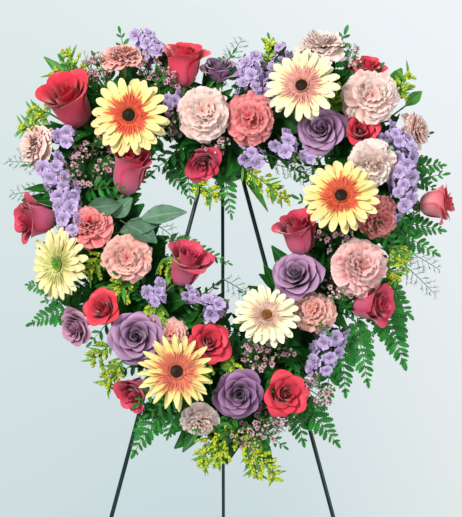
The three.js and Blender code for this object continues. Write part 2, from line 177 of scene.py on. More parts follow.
# Leatherleaf fronds: across, up and forward of the foot and of the tip, and the width.
FERNS = [
    (-196, -82, 48, -282, -116, 34, 46),
    (-178, -70, 48, -262, -84, 40, 34),
    (-88, -222, 48, -132, -300, 44, 50),
    (-70, -230, 50, -84, -276, 50, 34),
    (-56, -238, 50, -60, -270, 50, 28),
    (92, -222, 52, 108, -284, 52, 44),
    (104, -222, 52, 156, -286, 50, 44),
    (206, -52, 50, 252, -172, 40, 66),
    (196, -30, 48, 262, -104, 38, 50),
    (182, -112, 54, 200, -200, 50, 44),
    (160, -120, 54, 168, -214, 50, 46),
    (150, -160, 54, 138, -232, 50, 40),
    (250, 108, 48, 310, 112, 44, 38),
    (250, 104, 48, 300, 76, 44, 34),
    (232, 30, 50, 308, 18, 44, 44),
    (228, 22, 50, 300, -16, 44, 42),
    (-88, 112, 50, -60, 70, 56, 28),
    (-8, 118, 50, 6, 38, 56, 36),
    (-84, 6, 62, 4, -32, 70, 26),
    (34, -262, 46, 66, -326, 44, 30),
    (-248, -66, 48, -286, -60, 38, 30),
    (-60, 126, 46, -52, 60, 50, 34),
]
# Tree fern: across, up and forward of the foot and of the tip, and the width.
PLUMOSUS = [
    (-232, 110, 50, -318, 118, 40, 44),
    (-236, 76, 50, -312, 70, 40, 40),
    (-4, 252, 50, 22, 296, 46, 40),
    (56, 126, 70, 150, 72, 80, 46),
    (62, 112, 66, 120, 92, 76, 34),
    (238, -20, 60, 298, -76, 52, 44),
    (246, -8, 60, 304, -40, 52, 36),
    (-196, -20, 92, -246, -32, 104, 26),
    (-110, 30, 80, -66, -2, 84, 34),
    (-6, -54, 84, 42, -84, 88, 32),
    (-250, 150, 60, -300, 132, 44, 34),
]
# Single leaves: across, up and forward of the foot and of the tip, the width, and which green.
LEAVES = [
    (-206, 216, 60, -264, 268, 52, 20, "bright"),
    (18, 104, 50, 60, 44, 56, 13, "bright"),
    (232, 218, 62, 252, 252, 56, 22, "bright"),
    (40, -270, 50, 64, -322, 44, 20, "dark"),
    (-196, 46, 88, -148, 50, 96, 30, "grey"),
    (-120, 30, 92, -56, 40, 98, 30, "grey"),
    (-140, 22, 92, -98, -4, 98, 34, "grey"),
    (-150, 12, 86, -92, 24, 92, 28, "grey"),
    (-160, 34, 80, -134, 60, 92, 26, "grey"),
    (-214, 232, 58, -250, 240, 50, 20, "bright"),
    (256, 196, 60, 280, 218, 52, 18, "bright"),
    (210, 214, 60, 236, 214, 80, 18, "bright"),
]

# The kinds of bloom. Colours are linear red, green and blue.
GERBERA_KINDS = {
    # petal's foot, middle and end, then the foot and end of the eye's short petals, and its centre
    "coral_eye": ((0.84, 0.12, 0.05), (0.95, 0.84, 0.26), (0.95, 0.89, 0.38), (0.85, 0.3, 0.05), (0.88, 0.1, 0.06), (0.03, 0.02, 0.01)),
    "cream_coral_eye": ((0.93, 0.5, 0.36), (0.96, 0.9, 0.46), (0.96, 0.93, 0.6), (0.8, 0.4, 0.14), (0.93, 0.4, 0.36), (0.04, 0.02, 0.01)),
    "yellow": ((0.86, 0.2, 0.06), (0.95, 0.83, 0.26), (0.95, 0.88, 0.4), (0.78, 0.26, 0.05), (0.88, 0.12, 0.06), (0.03, 0.02, 0.01)),
    "green_eye": ((0.9, 0.8, 0.32), (0.95, 0.82, 0.36), (0.96, 0.88, 0.5), (0.4, 0.55, 0.06), (0.85, 0.8, 0.3), (0.2, 0.42, 0.03)),
    "spider": ((0.86, 0.36, 0.12), (0.94, 0.72, 0.24), (0.95, 0.86, 0.36), (0.7, 0.2, 0.06), (0.88, 0.22, 0.14), (0.05, 0.02, 0.02)),
    "cream": ((0.94, 0.8, 0.42), (0.96, 0.92, 0.56), (0.96, 0.94, 0.7), (0.72, 0.42, 0.14), (0.93, 0.62, 0.5), (0.3, 0.12, 0.03)),
}
CARNATION_KINDS = {
    # the foot of the petals, their middle and their edge
    "pale": ((0.88, 0.3, 0.24), (0.95, 0.6, 0.52), (0.98, 0.84, 0.78)),
    "blush": ((0.9, 0.46, 0.38), (0.97, 0.72, 0.63), (0.98, 0.87, 0.81)),
    "pink": ((0.84, 0.22, 0.24), (0.94, 0.46, 0.44), (0.97, 0.7, 0.66)),
    "salmon": ((0.82, 0.18, 0.17), (0.93, 0.4, 0.34), (0.97, 0.64, 0.55)),
    "coral": ((0.7, 0.06, 0.08), (0.86, 0.18, 0.19), (0.94, 0.4, 0.38)),
}
ROSE_KINDS = {
    # the foot of the petals, their middle, their end and their rim. In the mauve, purple and orchid kinds the dark
    # foot is painted shade deep in the flower and the lighter rim is a painted highlight.
    "mauve": ((0.17, 0.05, 0.14), (0.34, 0.14, 0.31), (0.48, 0.25, 0.45), (0.56, 0.34, 0.53)),
    "purple": ((0.1, 0.03, 0.1), (0.23, 0.09, 0.22), (0.34, 0.16, 0.33), (0.42, 0.22, 0.4)),
    "orchid": ((0.4, 0.12, 0.28), (0.56, 0.2, 0.38), (0.66, 0.3, 0.47), (0.72, 0.38, 0.54)),
    "red": ((0.62, 0.14, 0.22), (0.78, 0.06, 0.12), (0.87, 0.035, 0.07), (0.88, 0.05, 0.08)),
    "rosy": ((0.62, 0.24, 0.33), (0.68, 0.1, 0.21), (0.75, 0.05, 0.13), (0.8, 0.05, 0.11)),
    "salmon": ((0.82, 0.38, 0.38), (0.87, 0.23, 0.28), (0.89, 0.13, 0.18), (0.9, 0.12, 0.15)),
}


# ---------------------------------------------------------------- shapes


class Shape:
    """Grids of four-sided faces. Each grid is a patch with coordinates from 0 to 1 and a tone of its own."""

    def __init__(self, points, quads, uv, patch, slot, tone):
        self.points, self.quads, self.uv = points, quads, uv
        self.patch, self.slot, self.tone = patch, slot, tone

    def moved(self, matrix):
        points = self.points @ matrix[:3, :3].T + matrix[:3, 3]
        return Shape(points, self.quads, self.uv, self.patch, self.slot, self.tone)


def grid(points, slot=0, tone=0.5, closed=False):
    """A patch from points laid out in rows and columns. A closed one joins its last column to its first."""
    rows, cols = points.shape[:2]
    spans = cols if closed else cols - 1
    r, c = (k.ravel() for k in np.meshgrid(np.arange(rows - 1), np.arange(spans), indexing="ij"))
    right = (c + 1) % cols
    quads = np.stack([r * cols + c, r * cols + right, (r + 1) * cols + right, (r + 1) * cols + c], axis=-1)
    u = np.stack([c, c + 1, c + 1, c], axis=-1) / spans
    v = np.stack([r, r, r + 1, r + 1], axis=-1) / (rows - 1)
    n = len(quads)
    return Shape(
        points.reshape(-1, 3), quads, np.stack([u, v], axis=-1),
        np.zeros(n, int), np.full(n, slot), np.full(n, float(tone)),
    )


def join(shapes):
    first_point = np.cumsum([0] + [len(s.points) for s in shapes])
    first_patch = np.cumsum([0] + [s.patch.max() + 1 for s in shapes])
    return Shape(
        np.concatenate([s.points for s in shapes]),
        np.concatenate([s.quads + k for s, k in zip(shapes, first_point)]),
        np.concatenate([s.uv for s in shapes]),
        np.concatenate([s.patch + k for s, k in zip(shapes, first_patch)]),
        np.concatenate([s.slot for s in shapes]),
        np.concatenate([s.tone for s in shapes]),
    )


def unit(v):
    return np.asarray(v, float) / max(np.linalg.norm(v), 1e-9)


def aim(at, towards, spin=0.0, scale=1.0, up=(0, 0, 1)):
    """The matrix that sets a shape down at a point with its z axis towards a direction."""
    z = unit(towards)
    x = np.cross(up, z)
    x = unit(x) if np.linalg.norm(x) > 1e-3 else unit(np.cross((0, 1, 0), z))
    y = np.cross(z, x)
    c, s = math.cos(spin), math.sin(spin)
    matrix = np.eye(4)
    matrix[:3, 0] = (x * c + y * s) * scale
    matrix[:3, 1] = (y * c - x * s) * scale
    matrix[:3, 2] = z * scale
    matrix[:3, 3] = at
    return matrix


def lay(at, along, face, scale=1.0):
    """The matrix that sets a leaf down at its foot, its length along one direction and its face to another."""
    y = unit(along)
    x = unit(np.cross(y, face))
    matrix = np.eye(4)
    matrix[:3, 0], matrix[:3, 1], matrix[:3, 2] = x * scale, y * scale, np.cross(x, y) * scale
    matrix[:3, 3] = at
    return matrix


def turned(shape, angle):
    """A shape turned about its own z axis."""
    c, s = math.cos(angle), math.sin(angle)
    matrix = np.eye(4)
    matrix[:2, :2] = ((c, -s), (s, c))
    return shape.moved(matrix)


def facing(turn, tip):
    yaw, pitch = math.radians(turn), math.radians(tip)
    return np.array((math.sin(yaw) * math.cos(pitch), -math.cos(yaw) * math.cos(pitch), math.sin(pitch)))


FINE = 49  # stations that a petal's length is worked out at


def smooth(stations):
    """Values at evenly spaced stations, read off at FINE places with their corners rounded."""
    line = np.interp(np.linspace(0, 1, FINE), np.linspace(0, 1, len(stations)), stations)
    reach = FINE // (2 * len(stations))
    padded = np.pad(line, reach, mode="edge")
    return np.convolve(padded, np.full(2 * reach + 1, 1 / (2 * reach + 1)), mode="valid")


def blade(length, width, rise, outline, rows, cols, start=0.0, cup=0.0, wrap=0.0, ruffle=0.0, waves=3.0,
          phase=0.0, teeth=0.0, shear=0.0, rounded=0.0):
    """A petal's points. It starts away from the z axis and its rise is its slope in degrees along its length.

    cup bends its sides up, wrap curls it round the z axis at that many times its distance from it, rounded
    shortens its sides, and ruffle and teeth shape its end.
    """
    stations = np.linspace(0, 1, FINE)
    slope = np.radians(smooth(rise))
    middle = (slope[1:] + slope[:-1]) / 2
    step = length / (FINE - 1)
    out = start + np.concatenate([[0], np.cumsum(np.cos(middle))]) * step
    up = np.concatenate([[0], np.cumsum(np.sin(middle))]) * step
    s = np.linspace(-1, 1, cols)[None, :]
    v = np.linspace(0, 1, rows)[:, None] * (1 - rounded * np.abs(s) ** 2.5)
    zigzag = teeth * length * np.where(np.arange(cols) % 2, 1.0, -1.0)[None, :] * v**6
    out, up, slope, half = (np.interp(v, stations, line) for line in (out, up, slope, width / 2 * smooth(outline)))
    across = half * s
    lift = cup * half * s**2
    lift = lift + ruffle * width * v**2.5 * (np.sin(waves * math.pi * s + phase) * (0.35 + 0.65 * s**2))
    y = out - lift * np.sin(slope) + zigzag * np.cos(slope)
    z = up + lift * np.cos(slope) + zigzag * np.sin(slope) + shear * across * v
    x = across
    if wrap:
        radius = wrap * np.maximum(y, 0.02)
        angle = np.clip(across / radius, -2.4, 2.4)
        x = radius * (1 + 0.1 * s) * np.sin(angle)
        y = y - radius + radius * (1 + 0.1 * s) * np.cos(angle)
    return np.stack([np.broadcast_to(x, y.shape), y, z], axis=-1)


def tube(path, radii, sides=6, slot=0, tone=0.5):
    """A round stem along a line of points, with a radius for each or one for all."""
    path = np.asarray(path, float)
    radii = np.broadcast_to(radii, len(path))
    ways = np.gradient(path, axis=0)
    ways /= np.linalg.norm(ways, axis=1)[:, None]
    side = np.cross(ways, (0.31, 0.17, 0.94))
    side /= np.linalg.norm(side, axis=1)[:, None]
    other = np.cross(ways, side)
    angle = np.linspace(0, 2 * math.pi, sides, endpoint=False)
    ring = side[:, None] * np.cos(angle)[:, None] + other[:, None] * np.sin(angle)[:, None]
    return grid(path[:, None] + ring * radii[:, None, None], slot, tone, closed=True)


def turned_profile(profile, sides, slot=0, tone=0.5):
    """A surface of revolution about z from pairs of radius and height."""
    angle = np.linspace(0, 2 * math.pi, sides, endpoint=False)
    r, z = np.asarray(profile, float).T
    points = np.stack([
        r[:, None] * np.cos(angle), r[:, None] * np.sin(angle), np.broadcast_to(z[:, None], (len(r), sides)),
    ], axis=-1)
    return grid(points, slot, tone, closed=True)


def ball(radius, rings=4, sides=6, stretch=1.0, slot=0, tone=0.5):
    angle = np.linspace(-math.pi / 2 * 0.97, math.pi / 2 * 0.97, rings + 1)
    profile = np.stack([np.cos(angle) * radius, np.sin(angle) * radius * stretch], axis=-1)
    return turned_profile(profile, sides, slot, tone)


def curve(start, end, bow=(0, 0, 0), count=8):
    """Points from start to end, bowed in the middle by a vector."""
    t = np.linspace(0, 1, count)[:, None]
    start, end = np.asarray(start, float), np.asarray(end, float)
    return start + (end - start) * t + np.asarray(bow, float) * (4 * t * (1 - t))


def fitted(shape, radius, share=1.0):
    """A shape scaled so that this share of its points lies this near to its z axis."""
    reach = np.quantile(np.linalg.norm(shape.points[:, :2], axis=1), share)
    matrix = np.eye(4)
    matrix[:3, :3] *= radius / reach
    return shape.moved(matrix)


# ---------------------------------------------------------------- pieces

hinge = frame["record"]["behaviour"]["joints"][0]["pos_m"]
lean = math.radians(LEAN)
LEGS = np.eye(4)  # from the coordinates of the front legs' plane to the world's
LEGS[:3, :3] = np.array(((1, 0, 0), (0, math.cos(lean), math.sin(lean)), (0, -math.sin(lean), math.cos(lean)))) * MM
LEGS[:3, 3] = np.array(hinge) - LEGS[:3, 1] * HINGE_BEHIND
HEART_ASIDE = 7  # the heart hangs this far to the right of the easel's middle
WREATH = LEGS.copy()
WREATH[:3, 3] = (LEGS @ (HEART_ASIDE, -TRAY_BEFORE, -HEART_DROP, 1))[:3]


def piece(name, shape, materials, nodes=(), body=FRONT_BODY, matrix=None, smooth=True):
    """Makes an object of a shape given in the wreath's coordinates."""
    shape = shape.moved(WREATH if matrix is None else matrix)
    mesh = bpy.data.meshes.new(name)
    count, faces = len(shape.points), len(shape.quads)
    mesh.vertices.add(count)
    mesh.vertices.foreach_set("co", shape.points.astype(np.float32).ravel())
    mesh.loops.add(faces * 4)
    mesh.loops.foreach_set("vertex_index", shape.quads.astype(np.int32).ravel())
    mesh.polygons.add(faces)
    mesh.polygons.foreach_set("loop_start", np.arange(0, faces * 4, 4, dtype=np.int32))
    for material in materials:
        mesh.materials.append(material)
    mesh.polygons.foreach_set("material_index", shape.slot.astype(np.int32))
    mesh.polygons.foreach_set("use_smooth", np.full(faces, smooth))
    mesh.update(calc_edges=True)
    mesh.uv_layers.new(name="patch").uv.foreach_set("vector", shape.uv.astype(np.float32).ravel())
    across = math.ceil(math.sqrt(shape.patch.max() + 1))
    cell = np.stack([shape.patch % across, shape.patch // across], axis=-1)[:, None]
    baked = (cell + 0.07 + 0.86 * shape.uv) / across
    mesh.uv_layers.new(name="OFBake").uv.foreach_set("vector", baked.astype(np.float32).ravel())
    mesh.attributes.new("tone", "FLOAT", "FACE").data.foreach_set("value", shape.tone.astype(np.float32))
    obj = bpy.data.objects.new(name, mesh)
    bpy.context.scene.collection.objects.link(obj)
    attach(obj, body)
    if nodes:
        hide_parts(*nodes)
    return obj


# ---------------------------------------------------------------- materials


class Net:
    """A material's node tree, with its Principled shader."""

    def __init__(self, name, roughness, **fixed):
        self.material = bpy.data.materials.new(name)
        self.material.use_nodes = True
        self.tree = self.material.node_tree
        self.shader = next(n for n in self.tree.nodes if n.type == "BSDF_PRINCIPLED")
        self.shader.inputs["Roughness"].default_value = roughness
        for socket, value in fixed.items():
            self.shader.inputs[socket.replace("_", " ")].default_value = value

    def add(self, kind, inputs=None, **settings):
        node = self.tree.nodes.new("ShaderNode" + kind)
        for key, value in settings.items():
            setattr(node, key, value)
        for key, value in (inputs or {}).items():
            if isinstance(value, bpy.types.NodeSocket):
                self.tree.links.new(value, node.inputs[key])
            else:
                node.inputs[key].default_value = value
        return node

    def math(self, operation, a, b=0.0, clamp=False):
        return self.add("Math", {0: a, 1: b}, operation=operation, use_clamp=clamp).outputs[0]

    def ramp(self, value, stops, smooth=False):
        """Stops are pairs of a place and a colour, or a grey."""
        node = self.add("ValToRGB", {"Fac": value})
        if smooth:
            node.color_ramp.interpolation = "EASE"
        elements = node.color_ramp.elements
        while len(elements) < len(stops):
            elements.new(0.5)
        for element, (place, colour) in zip(elements, stops):
            element.position = place
            element.color = (*(colour if isinstance(colour, tuple) else (colour,) * 3), 1)
        return node.outputs["Color"]

    def mix(self, factor, a, b, blend="MIX"):
        node = self.add("Mix", data_type="RGBA", blend_type=blend)
        for socket, value in ((node.inputs[0], factor), (node.inputs[6], a), (node.inputs[7], b)):
            if isinstance(value, bpy.types.NodeSocket):
                self.tree.links.new(value, socket)
            else:
                socket.default_value = (*value, 1) if isinstance(value, tuple) else value
        return node.outputs[2]

    def patch(self):
        """The two coordinates of a patch: across it and along it."""
        uv = self.add("UVMap", uv_map="patch").outputs["UV"]
        split = self.add("SeparateXYZ", {0: uv})
        return uv, split.outputs[0], split.outputs[1]

    def tone(self):
        return self.add("Attribute", attribute_name="tone").outputs["Fac"]

    def noise(self, vector, scale, detail=3.0, stretch=(1, 1, 1)):
        scaled = self.add("Mapping", {"Vector": vector, "Scale": stretch}).outputs[0]
        return self.add("TexNoise", {"Vector": scaled, "Scale": scale, "Detail": detail}).outputs["Fac"]

    def place(self):
        return self.add("TexCoord").outputs["Object"]

    def colour(self, socket):
        self.tree.links.new(socket, self.shader.inputs["Base Color"])

    def bump(self, height, strength, distance):
        node = self.add("Bump", {"Height": height, "Strength": strength, "Distance": distance})
        self.tree.links.new(node.outputs[0], self.shader.inputs["Normal"])

    def rough(self, factor, low, high):
        node = self.add("MapRange", {"Value": factor, "To Min": low, "To Max": high})
        self.tree.links.new(node.outputs[0], self.shader.inputs["Roughness"])


def petal_material(name, stops, edge=None, streak=0.25, roughness=0.5, sheen=0.25, spread=0.2):
    """Colours from a petal's foot to its end, a lighter or darker edge, streaks along it and its own tone."""
    net = Net(name, roughness, Sheen_Weight=sheen, Sheen_Roughness=0.4, Specular_IOR_Level=0.3)
    uv, across, length = net.patch()
    places = np.linspace(0.0, 1.0, len(stops))
    colour = net.ramp(length, list(zip(places, stops)))
    veins = net.noise(uv, 1.0, 2.0, (34, 2.2, 1))
    colour = net.mix(net.math("MULTIPLY", veins, streak), colour, stops[0])
    if edge:
        side = net.math("ABSOLUTE", net.math("SUBTRACT", across, 0.5))
        side = net.math("MAXIMUM", net.math("MULTIPLY", side, 2.0), length)
        colour = net.mix(net.ramp(side, [(0.78, 0.0), (1.0, 0.8)]), colour, edge)
    tone = net.ramp(net.tone(), [(0.0, 1 - spread), (1.0, 1.0)])
    colour = net.mix(1.0, colour, tone, "MULTIPLY")
    net.colour(colour)
    net.bump(veins, 0.35, 0.0006)
    net.rough(veins, roughness - 0.08, roughness + 0.12)
    return net.material


def leaf_material(name, dark, light, vein, roughness=0.4, spread=0.55):
    """A leaf with a pale midrib, side veins, mottling and its own tone."""
    net = Net(name, roughness, Specular_IOR_Level=0.25)
    uv, across, length = net.patch()
    mottle = net.noise(net.place(), 90.0, 3.0)
    colour = net.mix(net.ramp(mottle, [(0.35, 0.0), (0.7, 1.0)]), dark, light)
    side = net.math("ABSOLUTE", net.math("SUBTRACT", across, 0.5))
    rib = net.ramp(side, [(0.0, 1.0), (0.045, 0.0)])
    slant = net.math("SUBTRACT", length, net.math("MULTIPLY", side, 0.7))
    ripple = net.math("SINE", net.math("MULTIPLY", slant, 62.0))
    nerves = net.ramp(ripple, [(0.86, 0.0), (1.0, 0.35)])
    veins = net.mix(1.0, rib, nerves, "LIGHTEN")
    colour = net.mix(veins, colour, vein)
    colour = net.mix(1.0, colour, net.ramp(net.tone(), [(0.0, 1 - spread), (1.0, 1.0)]), "MULTIPLY")
    net.colour(colour)
    net.bump(veins, 0.3, 0.0008)
    net.rough(mottle, roughness - 0.1, roughness + 0.15)
    return net.material


def speckle_material(name, dark, light, scale=220.0, roughness=0.6, spread=0.4, bump=0.4):
    """Small buds, stems and centres: two colours in fine mottling, with a tone of their own."""
    net = Net(name, roughness, Specular_IOR_Level=0.35)
    mottle = net.noise(net.place(), scale, 3.0)
    colour = net.mix(net.ramp(mottle, [(0.3, 0.0), (0.7, 1.0)]), dark, light)
    colour = net.mix(1.0, colour, net.ramp(net.tone(), [(0.0, 1 - spread), (1.0, 1.0)]), "MULTIPLY")
    net.colour(colour)
    net.bump(mottle, bump, 0.0008)
    net.rough(mottle, roughness - 0.1, roughness + 0.1)
    return net.material


STEM = speckle_material("stem_green", (0.07, 0.15, 0.03), (0.14, 0.26, 0.06))
SEPAL = leaf_material("sepal_green", (0.07, 0.17, 0.03), (0.15, 0.3, 0.07), (0.3, 0.42, 0.18))
DARK_LEAF = leaf_material("leaf_dark", (0.006, 0.09, 0.01), (0.025, 0.2, 0.022), (0.07, 0.32, 0.06), 0.4)
FERN_LEAF = leaf_material("leaf_fern", (0.008, 0.16, 0.016), (0.03, 0.3, 0.035), (0.08, 0.4, 0.07), 0.45, 0.5)
BRIGHT_LEAF = leaf_material("leaf_bright", (0.03, 0.2, 0.02), (0.09, 0.34, 0.04), (0.22, 0.5, 0.14), 0.4, 0.3)
GREY_LEAF = leaf_material("leaf_eucalyptus", (0.07, 0.18, 0.1), (0.15, 0.29, 0.18), (0.27, 0.4, 0.3), 0.6, 0.35)
FINE_LEAF = speckle_material("leaf_needles", (0.01, 0.09, 0.015), (0.03, 0.18, 0.03), 400.0, 0.6, 0.5, 0.1)
SOLIDAGO = speckle_material("solidago_buds", (0.46, 0.62, 0.02), (0.78, 0.86, 0.06), 600.0, 0.65, 0.4, 0.3)
PLUME_GREEN = speckle_material("solidago_leaves", (0.06, 0.26, 0.02), (0.16, 0.42, 0.04), 300.0, 0.5, 0.4, 0.2)
WAX_BUD = speckle_material("waxflower_buds", (0.62, 0.5, 0.4), (0.86, 0.8, 0.66), 700.0, 0.5, 0.4, 0.2)
WAX_EYE = speckle_material("waxflower_eye", (0.12, 0.01, 0.03), (0.3, 0.05, 0.09), 900.0, 0.4, 0.4, 0.3)
STOCK_EYE = speckle_material("stock_eye", (0.3, 0.36, 0.18), (0.5, 0.5, 0.4), 700.0, 0.6, 0.3, 0.2)
WAX_PETAL = petal_material("waxflower_petal", [(0.42, 0.1, 0.17), (0.64, 0.32, 0.42), (0.8, 0.55, 0.6)], None, 0.2)
STOCK_PETAL = petal_material(
    "stock_petal", [(0.56, 0.5, 0.5), (0.5, 0.33, 0.68), (0.58, 0.42, 0.8)], (0.7, 0.56, 0.87), 0.35, 0.55, 0.35, 0.35,
)
# Rose petals: in the mauve, purple and orchid kinds the ramp from foot to end holds painted shade at the foot and the
# rim colour a painted highlight.
ROSE_PETALS = {
    kind: petal_material("rose_petal_" + kind, [foot, middle, end], rim, 0.3, 0.45, 0.35, 0.3)
    for kind, (foot, middle, end, rim) in ROSE_KINDS.items()
}


# ---------------------------------------------------------------- flowers

SNUG = 0.86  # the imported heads' radius against the open flower's
FOAM_HALF_WIDTH, FOAM_FRONT, STEM_DEPTH = 40, 50, 30
LOBE_X, LOBE_Z, LOBE_RADIUS, TIP_Z = 100, 95, 108, -242


def heart_line(count=240, grow=0.0):
    """Evenly spread points on the middle line of the foam heart, from the tip round to the right."""
    away = math.hypot(LOBE_X, LOBE_Z - TIP_Z)
    side = math.atan2(LOBE_X, LOBE_Z - TIP_Z) + math.asin(LOBE_RADIUS / away)
    end = math.acos(-LOBE_X / LOBE_RADIUS)
    lobe = [(LOBE_X + LOBE_RADIUS * math.cos(a), LOBE_Z + LOBE_RADIUS * math.sin(a))
            for a in np.linspace(-side, end, 60)]
    right = [(0, TIP_Z), *lobe]
    points = np.array(right + [(-x, z) for x, z in reversed(right)])
    steps = np.concatenate([[0], np.cumsum(np.linalg.norm(np.diff(points, axis=0), axis=1))])
    places = np.linspace(0, steps[-1], count, endpoint=False)
    return np.stack([np.interp(places, steps, points[:, 0]), np.interp(places, steps, points[:, 1])], axis=-1)


HEART = heart_line()


def foot_in_foam(x, z):
    """Where a stem goes into the foam, below a head at this place."""
    middle = HEART[np.argmin(np.hypot(HEART[:, 0] - x, HEART[:, 1] - z))]
    aside = np.array((x, z)) - middle
    reach = np.linalg.norm(aside)
    aside *= min(1.0, (FOAM_HALF_WIDTH - 14) / max(reach, 1e-6))
    return np.array((middle[0] + aside[0], -STEM_DEPTH, middle[1] + aside[1]))


def stem_to(x, forward, z, towards, radius=2.2, slot=0, bow=0.25):
    """A stem from the foam to the back of a head, which it meets along the head's axis."""
    foot = foot_in_foam(x, z)
    head = np.array((x, -forward, z))
    middle = head - unit(towards) * np.linalg.norm(head - foot) * bow
    t = np.linspace(0, 1, 7)[:, None]
    path = foot * (1 - t) ** 2 + middle * 2 * t * (1 - t) + head * t**2
    return tube(path, radius, 6, slot, 0.6)


def sepals(count, length, width, rise, start, slot, rng):
    leaves = []
    for i in range(count):
        slope = np.array(rise) + rng.uniform(-12, 12)
        points = blade(length, width, slope, (0.8, 1, 0.75, 0.4, 0.08), 6, 3, start, cup=0.3)
        leaves.append(turned(grid(points, slot, rng.uniform(0.5, 1)), 2 * math.pi * (i + rng.uniform(-0.1, 0.1)) / count))
    return join(leaves)


ROSE_HEART = np.array((80, 90, 94, 96, 94, 90))
ROSE_GOBLET = np.array((6, 46, 80, 92, 76, 20))
ROSE_OPEN = np.array((-12, 12, 36, 40, 4, -80))
ROSE_URN = np.array((14, 62, 86, 92, 88, 50))
ROSE_CURL = np.array((8, 56, 80, 70, 14, -62))


def rose(openness, seed, petals=22, tall=0.0):
    """A rose of unit radius that faces +z. Slot 0 is petal and slot 1 green. Tall makes it an urn."""
    rng = np.random.default_rng(seed)
    closed, wide = (ROSE_URN, ROSE_CURL) if tall else (ROSE_GOBLET, ROSE_OPEN)
    shapes = []
    for i in range(petals):
        t = (i / (petals - 1)) ** 1.2
        goblet = t**0.75
        opened = min(1.0, openness * t**1.3 + (0.2 if i > petals - 5 else 0))
        if tall:
            opened = min(1.0, openness * t**1.6 * rng.uniform(0.5, 1.6))
        rise = (ROSE_HEART * (1 - goblet) + closed * goblet) * (1 - opened) + wide * opened
        rise = rise + rng.uniform(-4, 4)
        rise[-2:] -= np.array((6, 34)) * rng.uniform(0.1, 1) * t
        length = (0.92 + 0.2 * t) * (1 + tall * (1 - 0.12 * t)) + rng.uniform(-0.06, 0.06)
        points = blade(
            length, 0.42 + (1.3 if tall else 1.25) * t + rng.uniform(-0.05, 0.05), rise,
            (0.3, 0.62, 0.92, 1.0, 0.94, 0.78), 12, 11, start=0.035 + 0.07 * t, cup=-0.05 * opened,
            wrap=1.0 + 0.3 * opened, ruffle=0.02 + 0.02 * opened, waves=1.5, phase=rng.uniform(0, 6), rounded=0.26,
        )
        # Inner petals get a lower tone and so a darker colour: painted shade in the rose's middle, with a random
        # spread on top.
        tone = np.clip(0.35 + 0.5 * t + rng.uniform(-0.2, 0.2), 0, 1)
        shapes.append(turned(grid(points, 0, tone), math.radians(i * GOLDEN_ANGLE) + rng.uniform(-0.15, 0.15)))
    head = fitted(join(shapes), 1.0, 0.99)
    hip = turned_profile(((0.05, -0.36), (0.2, -0.3), (0.25, -0.14), (0.16, 0.02)), 10, 1, 0.5)
    green = sepals(5, 0.62, 0.2, (-20, -35, -50, -60), 0.16, 1, rng)
    return join([head, hip, green])


def carnation(seed, petals=44):
    """A carnation of unit radius that faces +z, its petals crumpled and fringed. Slot 0 is petal and slot 1 green."""
    rng = np.random.default_rng(seed)
    shapes = []
    for i in range(petals):
        t = (i + 0.5) / petals
        outer = i > petals - 10
        tilt = 86 - 88 * t**0.9 + rng.uniform(-14, 14)
        rise = (min(tilt + 45, 94), tilt + 22, tilt, tilt - 16 - 14 * t, tilt - 34 - 22 * t)
        points = blade(
            0.86 + 0.12 * t + rng.uniform(-0.12, 0.05), 0.66 + 0.36 * t + rng.uniform(-0.1, 0.1), rise, (0.12, 0.3, 0.62, 0.92, 1.0, 1.0), 8, 19,
            start=0.03, cup=rng.uniform(-0.1, 0.3), ruffle=0.075 if outer else 0.12,
            waves=rng.uniform(2.0, 2.6) if outer else rng.uniform(3.0, 4.6), phase=rng.uniform(0, 6),
            teeth=0.011, shear=rng.uniform(-0.3, 0.3), rounded=0.2,
        )
        tone = np.clip((0.85 if outer else 0.5) + rng.uniform(-0.3, 0.3), 0, 1)
        shapes.append(turned(grid(points, 0, tone), math.radians(i * GOLDEN_ANGLE) + rng.uniform(-0.3, 0.3)))
    head = fitted(join(shapes), 1.0, 0.96)
    cup = turned_profile(((0.07, -0.95), (0.17, -0.85), (0.2, -0.4), (0.26, -0.05), (0.2, 0.0)), 10, 1, 0.7)
    green = sepals(5, 0.34, 0.2, (60, 50, 30), 0.22, 1, rng)
    return join([head.moved(aim((0, 0, -0.2), (0, 0, 1))), cup, green])


